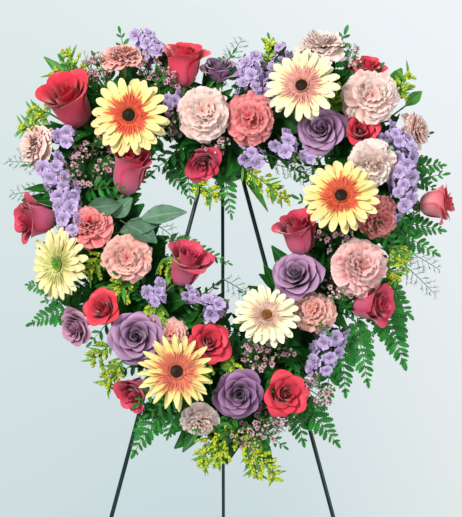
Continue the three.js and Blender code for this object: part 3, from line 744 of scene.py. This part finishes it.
def gerbera(seed, spider=False):
    """A gerbera of unit radius that faces +z. Slots: long petals, short petals, centre, green."""
    rng = np.random.default_rng(seed)
    outline = (0.3, 0.7, 1.0, 0.95, 0.7, 0.25) if spider else (0.34, 0.7, 0.94, 1.0, 1.0, 0.62)
    shapes = []
    for count, start, length, width, rise, height in (
        (20, 0.14, 0.86, 0.22, (10, 4, -4, -14), -0.07),
        (20, 0.13, 0.8, 0.2, (17, 9, 2, -10), -0.045),
        (10, 0.12, 0.66, 0.14, (22, 12, 4, -8), -0.02),
    ):
        for i in range(count):
            slope = np.array(rise) + rng.uniform(-6, 7)
            points = blade(
                length * rng.uniform(0.9, 1.03), width * (0.9 if spider else 1), slope, outline, 9, 5, start,
                cup=rng.uniform(0.1, 0.35) * (2 if spider else 1), ruffle=0.03, waves=1.0, phase=rng.uniform(0, 6),
                shear=rng.uniform(-0.15, 0.15), rounded=0.1,
            )
            points[..., 2] += height
            angle = 2 * math.pi * (i + rng.uniform(-0.22, 0.22)) / count + count
            shapes.append(turned(grid(points, 0, rng.uniform(0.35, 1)), angle))
    for ring, (start, length, rise) in enumerate((
        (0.2, 0.42, (26, 12, -4)), (0.19, 0.34, (36, 18, 0)), (0.17, 0.26, (50, 30, 10)), (0.14, 0.14, (66, 50, 40)),
    )):
        for i in range(36):
            points = blade(length * rng.uniform(0.7, 1.15), 0.05, rise, (0.7, 1, 0.8, 0.2), 4, 3, start, cup=0.5)
            shapes.append(turned(grid(points, 1, rng.uniform(0.2, 1)), 2 * math.pi * (i + 0.37 * ring) / 36))
    eye = 90
    for i in range(eye):
        t = math.sqrt((i + 0.5) / eye)
        at = np.array((0.155 * t, 0, 0.075 - 0.03 * t))
        bump = ball(0.0125, 3, 5, 2.2, 2, rng.uniform(0.2, 1)).moved(aim(at, (t * 0.4, 0, 1)))
        shapes.append(turned(bump, math.radians(i * GOLDEN_ANGLE)))
    shapes.append(turned_profile(((0.19, -0.02), (0.12, 0.05), (0.02, 0.06)), 16, 2, 0.1))
    head = fitted(join(shapes), 1.0, 0.995)
    cup = turned_profile(((0.04, -0.3), (0.14, -0.24), (0.24, -0.12), (0.22, -0.05)), 12, 3, 0.6)
    green = sepals(13, 0.2, 0.07, (60, 30, 10), 0.14, 3, rng).moved(aim((0, 0, -0.2), (0, 0, 1)))
    return join([head, cup, green])


def set_bloom(name, row, shape, materials, stem_slot, lower=0.0):
    """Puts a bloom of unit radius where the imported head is, on its stem."""
    x, z, forward, width, turn, tip = row[:6]
    towards = facing(turn, tip)
    radius = width / 2
    centre = np.array((x, -forward, z)) - towards * lower * radius
    spin = (x * 0.37 + z * 0.61) % (2 * math.pi)
    head = shape.moved(aim(centre, towards, spin, radius))
    neck = centre - towards * 0.25 * radius
    stem = stem_to(neck[0], -neck[1], neck[2], towards, slot=stem_slot)
    return piece(name + "_bloom", join([head, stem]), materials, [name])


for i, row in enumerate(GERBERAS):
    foot, middle, end, short_foot, short_end, eye = GERBERA_KINDS[row[6]]
    materials = [
        petal_material("gerbera_petal_" + row[6], [foot, foot, foot, middle, middle, end, end], None, 0.3, 0.45, 0.15, 0.22),
        petal_material("gerbera_short_petal_" + row[6], [short_foot, short_end, short_end], None, 0.2, 0.5, 0.1, 0.4),
        speckle_material("gerbera_centre_" + row[6], eye, tuple(k * 2.2 for k in eye), 500.0, 0.5, 0.5),
        SEPAL,
    ]
    name = f"gerbera_{i + 1:02d}"
    set_bloom(name, row, gerbera(100 + i, row[6] == "spider"), materials, 3, 0.0)

for i, row in enumerate(LAVENDER_ROSES):
    name = f"lavender_rose_{i + 1:02d}"
    set_bloom(name, row, rose(row[6], 200 + i, 28), [ROSE_PETALS[row[7]], SEPAL], 1, 0.35)

for i, row in enumerate(PINK_ROSES):
    name = f"pink_rose_{i + 1:02d}"
    set_bloom(name, row, rose(row[6], 300 + i, 22, 0.7), [ROSE_PETALS[row[7]], SEPAL], 1, 0.9)

CARNATION_PETALS = {
    kind: petal_material("carnation_petal_" + kind, [foot, middle, middle, middle], edge, 0.25, 0.5, 0.4, 0.25)
    for kind, (foot, middle, edge) in CARNATION_KINDS.items()
}
for i, row in enumerate(CARNATIONS):
    name = f"carnation_{i + 1:02d}"
    set_bloom(name, row, carnation(400 + i), [CARNATION_PETALS[row[6]], SEPAL], 1, 0.1)


def stock_floret(rng):
    """One double floret of unit radius that faces +z."""
    shapes = []
    for count, length, width, rise in ((5, 1.0, 0.95, (70, 20, 0, -20)), (4, 0.72, 0.8, (80, 45, 30, 20)), (3, 0.42, 0.6, (85, 75, 60))):
        for i in range(count):
            slope = np.array(rise) + rng.uniform(-14, 14)
            points = blade(
                length * rng.uniform(0.85, 1.1), width, slope, (0.25, 0.6, 0.95, 1.0, 0.75), 5, 6, 0.02,
                cup=rng.uniform(-0.3, 0.3), ruffle=0.12, waves=1.6, phase=rng.uniform(0, 6),
            )
            tone = rng.uniform(0.3, 1)
            shapes.append(turned(grid(points, 0, tone), 2 * math.pi * (i + rng.uniform(-0.15, 0.15)) / count + count))
    shapes.append(ball(0.12, 3, 5, 1.0, 2, 0.6).moved(aim((0, 0, 0.3), (0, 0, 1))))
    return join(shapes)


STOCK_FLORETS = [stock_floret(np.random.default_rng(500 + k)) for k in range(5)]


def stock_spike(row, seed):
    """Florets in a spiral round a stem. Slots: petal, green, floret's eye."""
    x0, z0, f0, x1, z1, f1, width = row
    rng = np.random.default_rng(seed)
    start, end = np.array((x0, -f0, z0), float), np.array((x1, -f1, z1), float)
    way = end - start
    length = np.linalg.norm(way)
    way = way / length
    side = unit(np.cross(way, (0.2, 1, 0.1)))
    other = np.cross(way, side)
    floret = min(13.5, width * 0.3)
    count = max(7, int(0.8 * (length + floret) * width / floret**2))
    shapes = []
    for i in range(count):
        t = (i + 0.5) / count
        angle = math.radians(i * GOLDEN_ANGLE) + rng.uniform(-0.3, 0.3)
        out = side * math.cos(angle) + other * math.sin(angle)
        reach = width / 2 - floret * 0.75
        at = start + way * (length * t) + out * reach * rng.uniform(0.6, 1.0)
        towards = out + way * rng.uniform(0.0, 0.7) + np.array((0, -0.5, 0))
        scale = floret * rng.uniform(0.85, 1.15) * (1.05 - 0.25 * t)
        shapes.append(STOCK_FLORETS[i % 5].moved(aim(at, towards, rng.uniform(0, 6), scale)))
    for i in range(7):
        angle = rng.uniform(0, 6.28)
        out = side * math.cos(angle) + other * math.sin(angle)
        at = end + way * rng.uniform(0, 10) + out * rng.uniform(1, 5)
        shapes.append(ball(rng.uniform(1.6, 2.6), 4, 6, 1.6, 1, rng.uniform(0.4, 1)).moved(aim(at, way + out * 0.5)))
    shapes.append(tube(curve(start, end + way * 6), 2.0, 5, 1, 0.6))
    shapes.append(stem_to(*start[[0]], -start[1], start[2], -(foot_in_foam(x0, z0) - start), 2.2, 1, 0.1))
    return join(shapes)


for i, row in enumerate(STOCKS):
    nodes = [f"stock_spike_{i + 1:02d}"] if i < 5 else []
    piece(f"stock_{i + 1:02d}", stock_spike(row, 520 + i), [STOCK_PETAL, SEPAL, STOCK_EYE], nodes)


# ---------------------------------------------------------------- small fillers and foliage


def star_flower(rng):
    """A waxflower of unit radius that faces +z. Slots: petal, bud, eye."""
    shapes = []
    for i in range(5):
        points = blade(0.8, 0.78, (50, 18, 4), (0.5, 1.0, 0.95, 0.4), 4, 4, 0.2, cup=0.25)
        shapes.append(turned(grid(points, 0, rng.uniform(0.3, 1)), 2 * math.pi * (i + rng.uniform(-0.06, 0.06)) / 5))
    shapes.append(turned_profile(((0.1, -0.5), (0.34, -0.05), (0.38, 0.14)), 7, 1, 0.3))
    shapes.append(turned_profile(((0.33, 0.12), (0.2, 0.2), (0.03, 0.16)), 7, 2, rng.uniform(0.2, 1)))
    return join(shapes)


STARS = [star_flower(np.random.default_rng(600 + k)) for k in range(4)]
BUD = ball(1.0, 4, 6, 1.25, 1, 0.5)


def toned(shape, tone):
    return Shape(shape.points, shape.quads, shape.uv, shape.patch, shape.slot, np.full(len(shape.quads), tone))


def needle(length, width, slot, tone):
    return grid(blade(length, width, (10, 0), (0.6, 1.0, 0.1), 3, 2), slot, tone)


def waxflower(row, seed):
    """Thin stems that end in small flowers, buds and needles. Slots: petal, bud, eye, green."""
    x, z, forward, width, height, stems, budding = row
    rng = np.random.default_rng(seed)
    foot = foot_in_foam(x, z)
    centre = np.array((x, -forward, z), float)
    shapes = []
    stems = int(stems * 1.7)
    for k in range(stems):
        angle = math.radians(k * GOLDEN_ANGLE)
        reach = math.sqrt(rng.uniform(0.05, 1.0))
        end = centre + np.array((
            math.cos(angle) * reach * width / 2, rng.uniform(-16, 14), math.sin(angle) * reach * height / 2,
        ))
        path = curve(foot, end, (0, -14, 0), 8)
        shapes.append(tube(path, np.linspace(1.2, 0.6, 8), 4, 3, 0.5))
        for j in range(rng.integers(5, 8)):
            t = rng.uniform(0.72, 1.0)
            at = foot + (end - foot) * t
            out = unit(rng.normal(size=3) + np.array((0, -1.0, 0.35)))
            tip = at + out * rng.uniform(6, 15)
            shapes.append(tube(curve(at, tip, count=3), 0.45, 3, 3, 0.6))
            if rng.random() < budding:
                bud = toned(BUD, rng.uniform(0.2, 1)).moved(aim(tip, out, 0, rng.uniform(1.4, 2.3)))
                shapes.append(bud)
            else:
                shapes.append(STARS[rng.integers(4)].moved(aim(tip, out, rng.uniform(0, 6), rng.uniform(3.4, 4.8))))
        for j in range(12):
            at = foot + (end - foot) * rng.uniform(0.45, 1.0)
            way = unit(rng.normal(size=3) + (0, -0.5, 0))
            shapes.append(needle(rng.uniform(7, 13), 1.2, 3, rng.uniform(0.2, 1)).moved(lay(at, way, rng.normal(size=3))))
    return join(shapes)


for i, row in enumerate(WAXFLOWERS):
    piece(f"waxflower_{i + 1:02d}", waxflower(row, 620 + i), [WAX_PETAL, WAX_BUD, WAX_EYE, STEM])


def across_of(start, end):
    """Directions along a spray, to its side and towards its face, which looks to the front."""
    way = unit(np.asarray(end, float) - start)
    side = unit(np.cross(way, (0, -1, 0.15)))
    return way, side, np.cross(side, way)


def solidago(row, seed):
    """A plume of tiny buds on arching twigs. Slots: bud, green."""
    x0, z0, f0, x1, z1, f1, width = row
    rng = np.random.default_rng(seed)
    start, end = np.array((x0, -f0, z0), float), np.array((x1, -f1, z1), float)
    way, side, face = across_of(start, end)
    length = np.linalg.norm(end - start)
    shapes = [tube(curve(start, end, face * 4), np.linspace(1.3, 0.5, 8), 4, 1, 0.5)]
    bud = ball(1.0, 3, 4, 1.2, 0, 0.5)
    twigs = max(8, int(length / 4.2))
    for k in range(twigs):
        t = (k + 0.5) / twigs
        at = start + way * length * t
        angle = math.radians(k * GOLDEN_ANGLE)
        out = side * math.cos(angle) + face * math.sin(angle) * 0.7
        reach = width / 2 * math.sin(math.pi * min(1, 0.25 + 0.75 * t)) ** 0.7 * rng.uniform(0.75, 1.15) + 2
        tip = at + out * reach + way * reach * 0.6
        path = curve(at, tip, way * -2.0 + face * 1.5, 5)
        shapes.append(tube(path, 0.45, 3, 1, 0.6))
        for j in range(int(6 + reach * 0.75)):
            spot = path[0] + (tip - at) * rng.uniform(0.2, 1.05) + rng.normal(size=3) * 1.5
            shapes.append(toned(bud, rng.uniform(0.1, 1)).moved(aim(spot, out + way, 0, rng.uniform(1.3, 2.3))))
    shapes.append(stem_to(x0, f0, z0, start - foot_in_foam(x0, z0), 1.4, 1, 0.2))
    for k in range(14):
        at = start + way * length * rng.uniform(-0.15, 0.9)
        out = side * rng.choice((-1, 1)) + way * rng.uniform(0.4, 1.4)
        blade_points = blade(rng.uniform(14, 26), 4.2, (14, 0, -16), (0.3, 1, 0.8, 0.05), 4, 3, cup=0.3)
        shapes.append(grid(blade_points, 1, rng.uniform(0.3, 1)).moved(lay(at, out, face)))
    return join(shapes)


for i, row in enumerate(SOLIDAGOS):
    piece(f"solidago_{i + 1:02d}", solidago(row, 700 + i), [SOLIDAGO, PLUME_GREEN])


def toothed_pinna(rng):
    """A fern pinna of unit length along +y, with blunt teeth on both sides."""
    rows = 13
    t = np.linspace(0, 1, rows)
    reach = 0.24 * np.sin(math.pi * (0.1 + 0.86 * t)) ** 0.8 * np.where(np.arange(rows) % 2, 1.0, 0.66)
    sides = np.array((-1.0, 0.0, 1.0))
    points = np.zeros((rows, 3, 3))
    points[..., 0] = reach[:, None] * sides
    points[..., 1] = t[:, None] + np.abs(sides) * reach[:, None] * 0.5
    points[..., 2] = -0.16 * t[:, None] ** 2 * rng.uniform(0.2, 1.6) + np.abs(sides) * reach[:, None] * 0.35
    return grid(points, 0, 0.5)


def divided_pinna(rng, pairs=5):
    """A fern pinna of unit length along +y, made of separate leaflets that get smaller to its tip."""
    shapes = [grid(blade(1.0, 0.02, (0, -8), (1, 0.8, 0.3), 3, 2), 0, 0.5)]
    for k in range(pairs):
        t = (k + 0.55) / pairs
        size = 0.3 * (1 - t) ** 0.7 + 0.09
        for side in (-1, 1):
            points = blade(size, size * 0.78, (8, -12), (0.5, 1.0, 0.85, 0.3), 4, 3, cup=0.25)
            way = np.array((side, 0.85 + 0.5 * t, 0.0))
            turned_face = (side * rng.uniform(-0.3, 0.2), 0, 1)
            shapes.append(grid(points, 0, 0.5).moved(lay((0, t * 0.92, -0.05 * t), way, turned_face)))
    return join(shapes)


TOOTHED = [toothed_pinna(np.random.default_rng(780 + k)) for k in range(3)]
DIVIDED = [divided_pinna(np.random.default_rng(790 + k)) for k in range(3)]


def frond(start, end, width, rng, pairs, arch=0.08, divided=3):
    """A leatherleaf frond, widest near its foot, with its lowest pairs divided again."""
    way, side, face = across_of(start, end)
    length = np.linalg.norm(np.asarray(end) - start)
    shapes = [tube(curve(start, end, face * length * arch, 8), np.linspace(1.1, 0.4, 8), 4, 1, 0.4)]
    for k in range(pairs):
        t = (k + 0.5) / (pairs + 0.3)
        at = start + (end - start) * t + face * length * arch * 4 * t * (1 - t)
        reach = width / 2 * 1.15 * (1 - t) ** 0.65 * min(1.0, 0.62 + 2.6 * t) + 3
        for s in (-1, 1):
            made = DIVIDED if k < divided else TOOTHED
            shape = toned(made[rng.integers(3)], rng.uniform(0.25, 1.0))
            size = np.diag((*(reach * rng.uniform(0.9, 1.12),) * 3, 1))
            out = side * s + way * (0.5 + 0.5 * t) + face * rng.uniform(-0.25, 0.12)
            place = lay(at + way * rng.uniform(-1.5, 1.5), out, face + side * s * rng.uniform(-0.3, 0.4))
            shapes.append(shape.moved(place @ size))
    tip = toned(TOOTHED[0], 0.8).moved(lay(end - way * width * 0.12, way, face) @ np.diag((*(width * 0.3,) * 3, 1)))
    return [*shapes, tip]


def fern(row, seed):
    x0, z0, f0, x1, z1, f1, width = row
    rng = np.random.default_rng(seed)
    start, end = np.array((x0, -f0, z0), float), np.array((x1, -f1, z1), float)
    shapes = frond(start, end, width, rng, max(6, int(np.linalg.norm(end - start) / 8.5)))
    shapes.append(stem_to(x0, f0, z0, start - foot_in_foam(x0, z0), 1.3, 1, 0.2))
    return join(shapes)


for i, row in enumerate(FERNS):
    piece(f"fern_{i + 1:02d}", fern(row, 800 + i), [FERN_LEAF, STEM])


def plumosus(row, seed):
    """Tree fern: a flat spray of hair-fine needles."""
    x0, z0, f0, x1, z1, f1, width = row
    rng = np.random.default_rng(seed)
    start, end = np.array((x0, -f0, z0), float), np.array((x1, -f1, z1), float)
    way, side, face = across_of(start, end)
    length = np.linalg.norm(end - start)
    shapes = [tube(curve(start, end, face * 5, 8), np.linspace(0.8, 0.35, 8), 4, 0, 0.5)]
    twigs = max(8, int(length / 4.5))
    for k in range(twigs):
        t = (k + 0.5) / twigs
        at = start + way * length * t + face * 5 * 4 * t * (1 - t)
        reach = width / 2 * (1 - t) ** 0.6 * min(1, 0.5 + 3 * t) * rng.uniform(0.7, 1.15) + 3
        s = 1 if k % 2 else -1
        out = unit(side * s + way * rng.uniform(0.5, 0.9) + face * rng.uniform(-0.25, 0.25))
        shapes.append(tube(curve(at, at + out * reach, count=3), 0.3, 3, 0, 0.5))
        for j in range(int(reach / 1.5)):
            spot = at + out * reach * rng.uniform(0.1, 1.0)
            needle_way = unit(out * 0.8 + way * rng.uniform(-0.8, 0.9) + side * rng.uniform(-0.6, 0.6) + face * rng.uniform(-0.2, 0.2))
            shapes.append(needle(rng.uniform(3.5, 6.5), 0.5, 0, rng.uniform(0, 1)).moved(lay(spot, needle_way, face)))
    shapes.append(stem_to(x0, f0, z0, start - foot_in_foam(x0, z0), 1.0, 0, 0.2))
    return join(shapes)


for i, row in enumerate(PLUMOSUS):
    piece(f"tree_fern_{i + 1:02d}", plumosus(row, 900 + i), [FINE_LEAF])


def leaf(length, width, rng, slot=0, outline=(0.12, 0.66, 0.98, 1.0, 0.8, 0.45, 0.06), tone=None):
    """A leaf along +y that faces +z, folded a little at its midrib."""
    bend = rng.uniform(-26, 4)
    points = blade(
        length, width, (10, 4, bend * 0.5, bend), outline, 7, 5, cup=rng.uniform(0.1, 0.4), ruffle=0.03, waves=2.0,
        phase=rng.uniform(0, 6),
    )
    return grid(points, slot, rng.uniform(0.15, 1) if tone is None else tone)


def set_leaf(at, way, face, length, width, rng, slot=0):
    stalk = tube(curve(np.asarray(at) - unit(way) * length * 0.25, np.asarray(at) + unit(way) * 1.0, count=3), 0.9, 4, 1, 0.4)
    return [leaf(length, width, rng, slot).moved(lay(at, way, face)), stalk]


GREENS = {"bright": BRIGHT_LEAF, "dark": DARK_LEAF, "grey": GREY_LEAF}
rng = np.random.default_rng(1000)
for i, (x0, z0, f0, x1, z1, f1, width, green) in enumerate(LEAVES):
    start, end = np.array((x0, -f0, z0), float), np.array((x1, -f1, z1), float)
    way, side, face = across_of(start, end)
    shapes = set_leaf(start, way, face + side * rng.uniform(-0.5, 0.5), np.linalg.norm(end - start), width, rng)
    shapes.append(stem_to(x0, f0, z0, start - foot_in_foam(x0, z0), 1.2, 1, 0.2))
    piece(f"leaf_{i + 1:02d}", join(shapes), [GREENS[green], STEM])


# The bed that hides the foam: dark leaves, with small fronds over them, all round the heart's middle line.
BED_GROUPS = 12
LEAVES_IN_GROUP = 34
FRONDS_IN_GROUP = 7
line = heart_line(BED_GROUPS * LEAVES_IN_GROUP)


def bed_place(n, rng, spread, forward):
    """A root on the foam, how far it is from the middle line, and the way its leaf goes."""
    ahead = line[(n + 1) % len(line)] - line[n - 1]
    out = unit((ahead[1], -ahead[0]))
    share = rng.uniform(-1, 1)
    root = line[n] + out * share * (FOAM_HALF_WIDTH - 6)
    depth = rng.uniform(20, 52) if abs(share) > 0.85 else FOAM_FRONT - 4
    lean_out = out * (share * 1.6 + rng.uniform(-0.5, 0.5)) + unit(ahead) * rng.uniform(-spread, spread)
    return np.array((root[0], -depth, root[1])), unit((lean_out[0], -rng.uniform(0.1, forward), lean_out[1]))


for group in range(BED_GROUPS):
    rng = np.random.default_rng(1100 + group)
    shapes = []
    for k in range(LEAVES_IN_GROUP):
        at, way = bed_place(group * LEAVES_IN_GROUP + k, rng, 0.9, 0.9)
        face = unit(np.array((0, -1, 0.25)) + rng.normal(size=3) * 0.35)
        size = rng.uniform(38, 66)
        shapes += set_leaf(at, way, face, size, size * rng.uniform(0.32, 0.5), rng)
    piece(f"leaf_bed_{group + 1:02d}", join(shapes), [DARK_LEAF, STEM])
    shapes = []
    for k in range(FRONDS_IN_GROUP):
        n = group * LEAVES_IN_GROUP + int((k + 0.5) * LEAVES_IN_GROUP / FRONDS_IN_GROUP)
        at, way = bed_place(n, rng, 0.5, 0.5)
        length = rng.uniform(64, 88)
        shapes += frond(at, at + way * length, length * rng.uniform(0.42, 0.56), rng, 6, 0.12, 2)
    piece(f"fern_bed_{group + 1:02d}", join(shapes), [FERN_LEAF, STEM])


# ---------------------------------------------------------------- easel and base


def steel_paint():
    """Dark green gloss paint over rod, a little uneven and worn."""
    net = Net("easel_paint", 0.3, Metallic=0.0, Specular_IOR_Level=0.3, Coat_Weight=0.15, Coat_Roughness=0.12)
    place = net.place()
    drips = net.noise(place, 60.0, 4.0, (1, 1, 0.12))
    colour = net.ramp(drips, [(0.3, (0.002, 0.018, 0.014)), (0.7, (0.004, 0.032, 0.025))])
    wear = net.ramp(net.noise(place, 420.0, 5.0), [(0.68, 0.0), (0.76, 0.3)])
    net.colour(net.mix(wear, colour, (0.06, 0.1, 0.09)))
    net.bump(drips, 0.15, 0.0004)
    net.rough(drips, 0.2, 0.34)
    return net.material


def plain(name, dark, light, roughness, scale, bump, stretch=(1, 1, 1), **fixed):
    net = Net(name, roughness, **fixed)
    mottle = net.noise(net.place(), scale, 4.0, stretch)
    net.colour(net.ramp(mottle, [(0.3, dark), (0.7, light)]))
    net.bump(mottle, bump, 0.0006)
    net.rough(mottle, roughness - 0.06, roughness + 0.1)
    return net.material


PAINT = steel_paint()
ZINC = plain("zinc", (0.42, 0.43, 0.44), (0.6, 0.61, 0.62), 0.32, 300.0, 0.15, Metallic=1.0)
RUBBER = plain("black_rubber", (0.012, 0.012, 0.012), (0.03, 0.03, 0.03), 0.75, 500.0, 0.3)
TRAY_PLASTIC = plain("tray_plastic", (0.008, 0.06, 0.02), (0.012, 0.085, 0.03), 0.4, 240.0, 0.12)
FOAM = plain("wet_foam", (0.01, 0.06, 0.02), (0.03, 0.13, 0.045), 0.85, 900.0, 0.8)

LEG_TOP_X, LEG_RISE, FOOT_X, LEG_END = 12, 5, 365, 8
APEX_HEIGHT = 1300
LEG_LENGTH = APEX_HEIGHT / math.cos(lean)
LEG_RADIUS, REAR_LEG_RADIUS, BAR_RADIUS = 3, 2.6, 3


def capped_rod(start, end, radius, sides=20):
    """A rod with rounded ends."""
    start, end = np.asarray(start, float), np.asarray(end, float)
    way = unit(end - start)
    length = np.linalg.norm(end - start)
    inset = radius * 0.35
    stations = np.concatenate([[0, 0.08 * inset, inset], np.linspace(0.05, 0.95, 12) * length, [length - inset, length - 0.08 * inset, length]])
    radii = np.concatenate([[radius * 0.04, radius * 0.7, radius], np.full(12, radius), [radius, radius * 0.7, radius * 0.04]])
    return tube(start + way * stations[:, None], radii, sides)


for side, word in ((-1, "left"), (1, "right")):
    top = (side * (LEG_TOP_X - LEG_RISE * (FOOT_X - LEG_TOP_X) / LEG_LENGTH), 0, LEG_RISE)
    foot = np.array((side * FOOT_X, 0, -LEG_LENGTH))
    end = foot + (np.array(top) - foot) * LEG_END / APEX_HEIGHT
    name = "front_leg_" + word
    piece(name + "_rod", capped_rod(top, end, LEG_RADIUS), [PAINT], [name], matrix=LEGS)

HINGE = np.eye(4)  # the hinge pin's place, turned as the open rear leg is
rear_lean = math.radians(REAR_LEAN)
HINGE[:3, :3] = np.array(((1, 0, 0), (0, math.cos(rear_lean), -math.sin(rear_lean)), (0, math.sin(rear_lean), math.cos(rear_lean)))) * MM
HINGE[:3, 3] = hinge
rear_length = hinge[2] / MM / math.cos(rear_lean) * (1 - LEG_END / APEX_HEIGHT)
BARREL_WIDTH, BARREL_RADIUS, PIN_BORE = 11, 7, 3.3
half = BARREL_WIDTH / 2
barrel = turned_profile(
    ((PIN_BORE, -half), (BARREL_RADIUS - 0.6, -half), (BARREL_RADIUS, -half + 0.6), (BARREL_RADIUS, half - 0.6),
     (BARREL_RADIUS - 0.6, half), (PIN_BORE, half), (PIN_BORE, -half)), 28,
).moved(aim((0, 0, 0), (1, 0, 0)))
rear = join([barrel, capped_rod((0, 0, -4.5), (0, 0, -rear_length), REAR_LEG_RADIUS)])
piece("rear_leg_rod", rear, [PAINT], ["rear_leg"], REAR_BODY, HINGE)
bar_z = -HEART_DROP - 176
bar_x = LEG_TOP_X - bar_z * (FOOT_X - LEG_TOP_X) / LEG_LENGTH + LEG_RADIUS
bar_y = LEG_RADIUS + BAR_RADIUS + 0.3
bar = capped_rod((-bar_x, bar_y, bar_z), (bar_x, bar_y, bar_z), BAR_RADIUS, 16)
piece("cross_bar_rod", bar, [PAINT], ["cross_bar"], matrix=LEGS)

CAD_FINISH = {
    "head_bracket": PAINT, "support_hook_left": PAINT, "support_hook_right": PAINT, "hinge_pin": ZINC,
    "foot_cap_left": RUBBER, "foot_cap_right": RUBBER, "foot_cap_rear": RUBBER,
    "backing_tray": TRAY_PLASTIC, "foam_heart": FOAM,
}
for node, material in CAD_FINISH.items():
    for material_slot in frame["nodes"][node].material_slots:
        material_slot.material = material


# ---------------------------------------------------------------- surroundings

scene = bpy.context.scene
scene.view_settings.view_transform = "Standard"
scene.view_settings.look = "None"


def world_point(x, forward, z):
    return Vector((WREATH @ (x, -forward, z, 1))[:3])


# The camera faces the heart from a little above it.
VIEW_DISTANCE = 2.2
VIEW_PITCH = math.radians(8)
target = world_point(5.6, 95, -26)
camera = bpy.data.objects.new("camera", bpy.data.cameras.new("camera"))
camera.data.lens = 109.4
camera.data.sensor_width = 36
camera.location = target + VIEW_DISTANCE * Vector((0, -math.cos(VIEW_PITCH), math.sin(VIEW_PITCH)))
camera.rotation_euler = (math.pi / 2 - VIEW_PITCH, 0, 0)
scene.collection.objects.link(camera)
scene.camera = camera


def area_light(name, place, towards, size, power, colour):
    light = bpy.data.objects.new(name, bpy.data.lights.new(name, "AREA"))
    light.data.shape = "DISK"
    light.data.size = size
    light.data.energy = power
    light.data.color = colour
    light.location = place
    light.rotation_euler = (Vector(towards) - Vector(place)).to_track_quat("-Z", "Y").to_euler()
    scene.collection.objects.link(light)


area_light("key", (-1.3, -2.2, 2.6), target, 0.9, 74, (1.0, 0.98, 0.95))
area_light("fill", (1.8, -1.9, 1.5), target, 1.6, 24, (0.95, 0.98, 1.0))
area_light("back", (0.4, 1.8, 2.4), target, 1.4, 22, (1.0, 1.0, 1.0))

world = bpy.data.worlds.new("backdrop")
scene.world = world
world.use_nodes = True
tree = world.node_tree
background = next(n for n in tree.nodes if n.type == "BACKGROUND")
direction = tree.nodes.new("ShaderNodeTexCoord").outputs["Generated"]
split = tree.nodes.new("ShaderNodeSeparateXYZ")
tree.links.new(direction, split.inputs[0])


def backdrop_range(socket, low, high):
    node = tree.nodes.new("ShaderNodeMapRange")
    node.inputs["From Min"].default_value = low
    node.inputs["From Max"].default_value = high
    tree.links.new(socket, node.inputs["Value"])
    return node.outputs[0]


def backdrop_ramp(socket, stops):
    node = tree.nodes.new("ShaderNodeValToRGB")
    node.color_ramp.interpolation = "EASE"
    elements = node.color_ramp.elements
    while len(elements) < len(stops):
        elements.new(0.5)
    for element, (place, colour) in zip(elements, stops):
        element.position = place
        element.color = (*colour, 1)
    tree.links.new(socket, node.inputs["Fac"])
    return node.outputs["Color"]


aside = backdrop_range(split.outputs[0], -0.17, 0.17)
high = backdrop_ramp(aside, [(0.0, (0.75, 0.84, 0.83)), (1.0, (0.88, 0.92, 0.95))])
low = backdrop_ramp(aside, [(0.0, (0.62, 0.72, 0.745)), (0.45, (0.58, 0.69, 0.72)), (1.0, (0.75, 0.81, 0.81))])
climb = backdrop_range(split.outputs[2], -0.32, 0.04)
tint = tree.nodes.new("ShaderNodeMix")
tint.data_type = "RGBA"
for source, socket in ((climb, 0), (low, 6), (high, 7)):
    tree.links.new(source, tint.inputs[socket])
tree.links.new(tint.outputs[2], background.inputs["Color"])
seen = tree.nodes.new("ShaderNodeLightPath").outputs["Is Camera Ray"]
strength = tree.nodes.new("ShaderNodeMapRange")
strength.inputs["To Min"].default_value = 0.48
strength.inputs["To Max"].default_value = 1.0
tree.links.new(seen, strength.inputs["Value"])
tree.links.new(strength.outputs[0], background.inputs["Strength"])

FLOOR_RADIUS = 1.5
floor = turned_profile(((0.01, 0), (FLOOR_RADIUS * 0.5, 0), (FLOOR_RADIUS, 0)), 64)
floor_mesh = bpy.data.meshes.new("floor")
floor_mesh.from_pydata(floor.points.tolist(), [], floor.quads.tolist())
floor_mesh.materials.append(plain("floor_pale", (0.62, 0.66, 0.66), (0.66, 0.7, 0.7), 0.6, 12.0, 0.0))
floor_object = bpy.data.objects.new("floor", floor_mesh)
scene.collection.objects.link(floor_object)
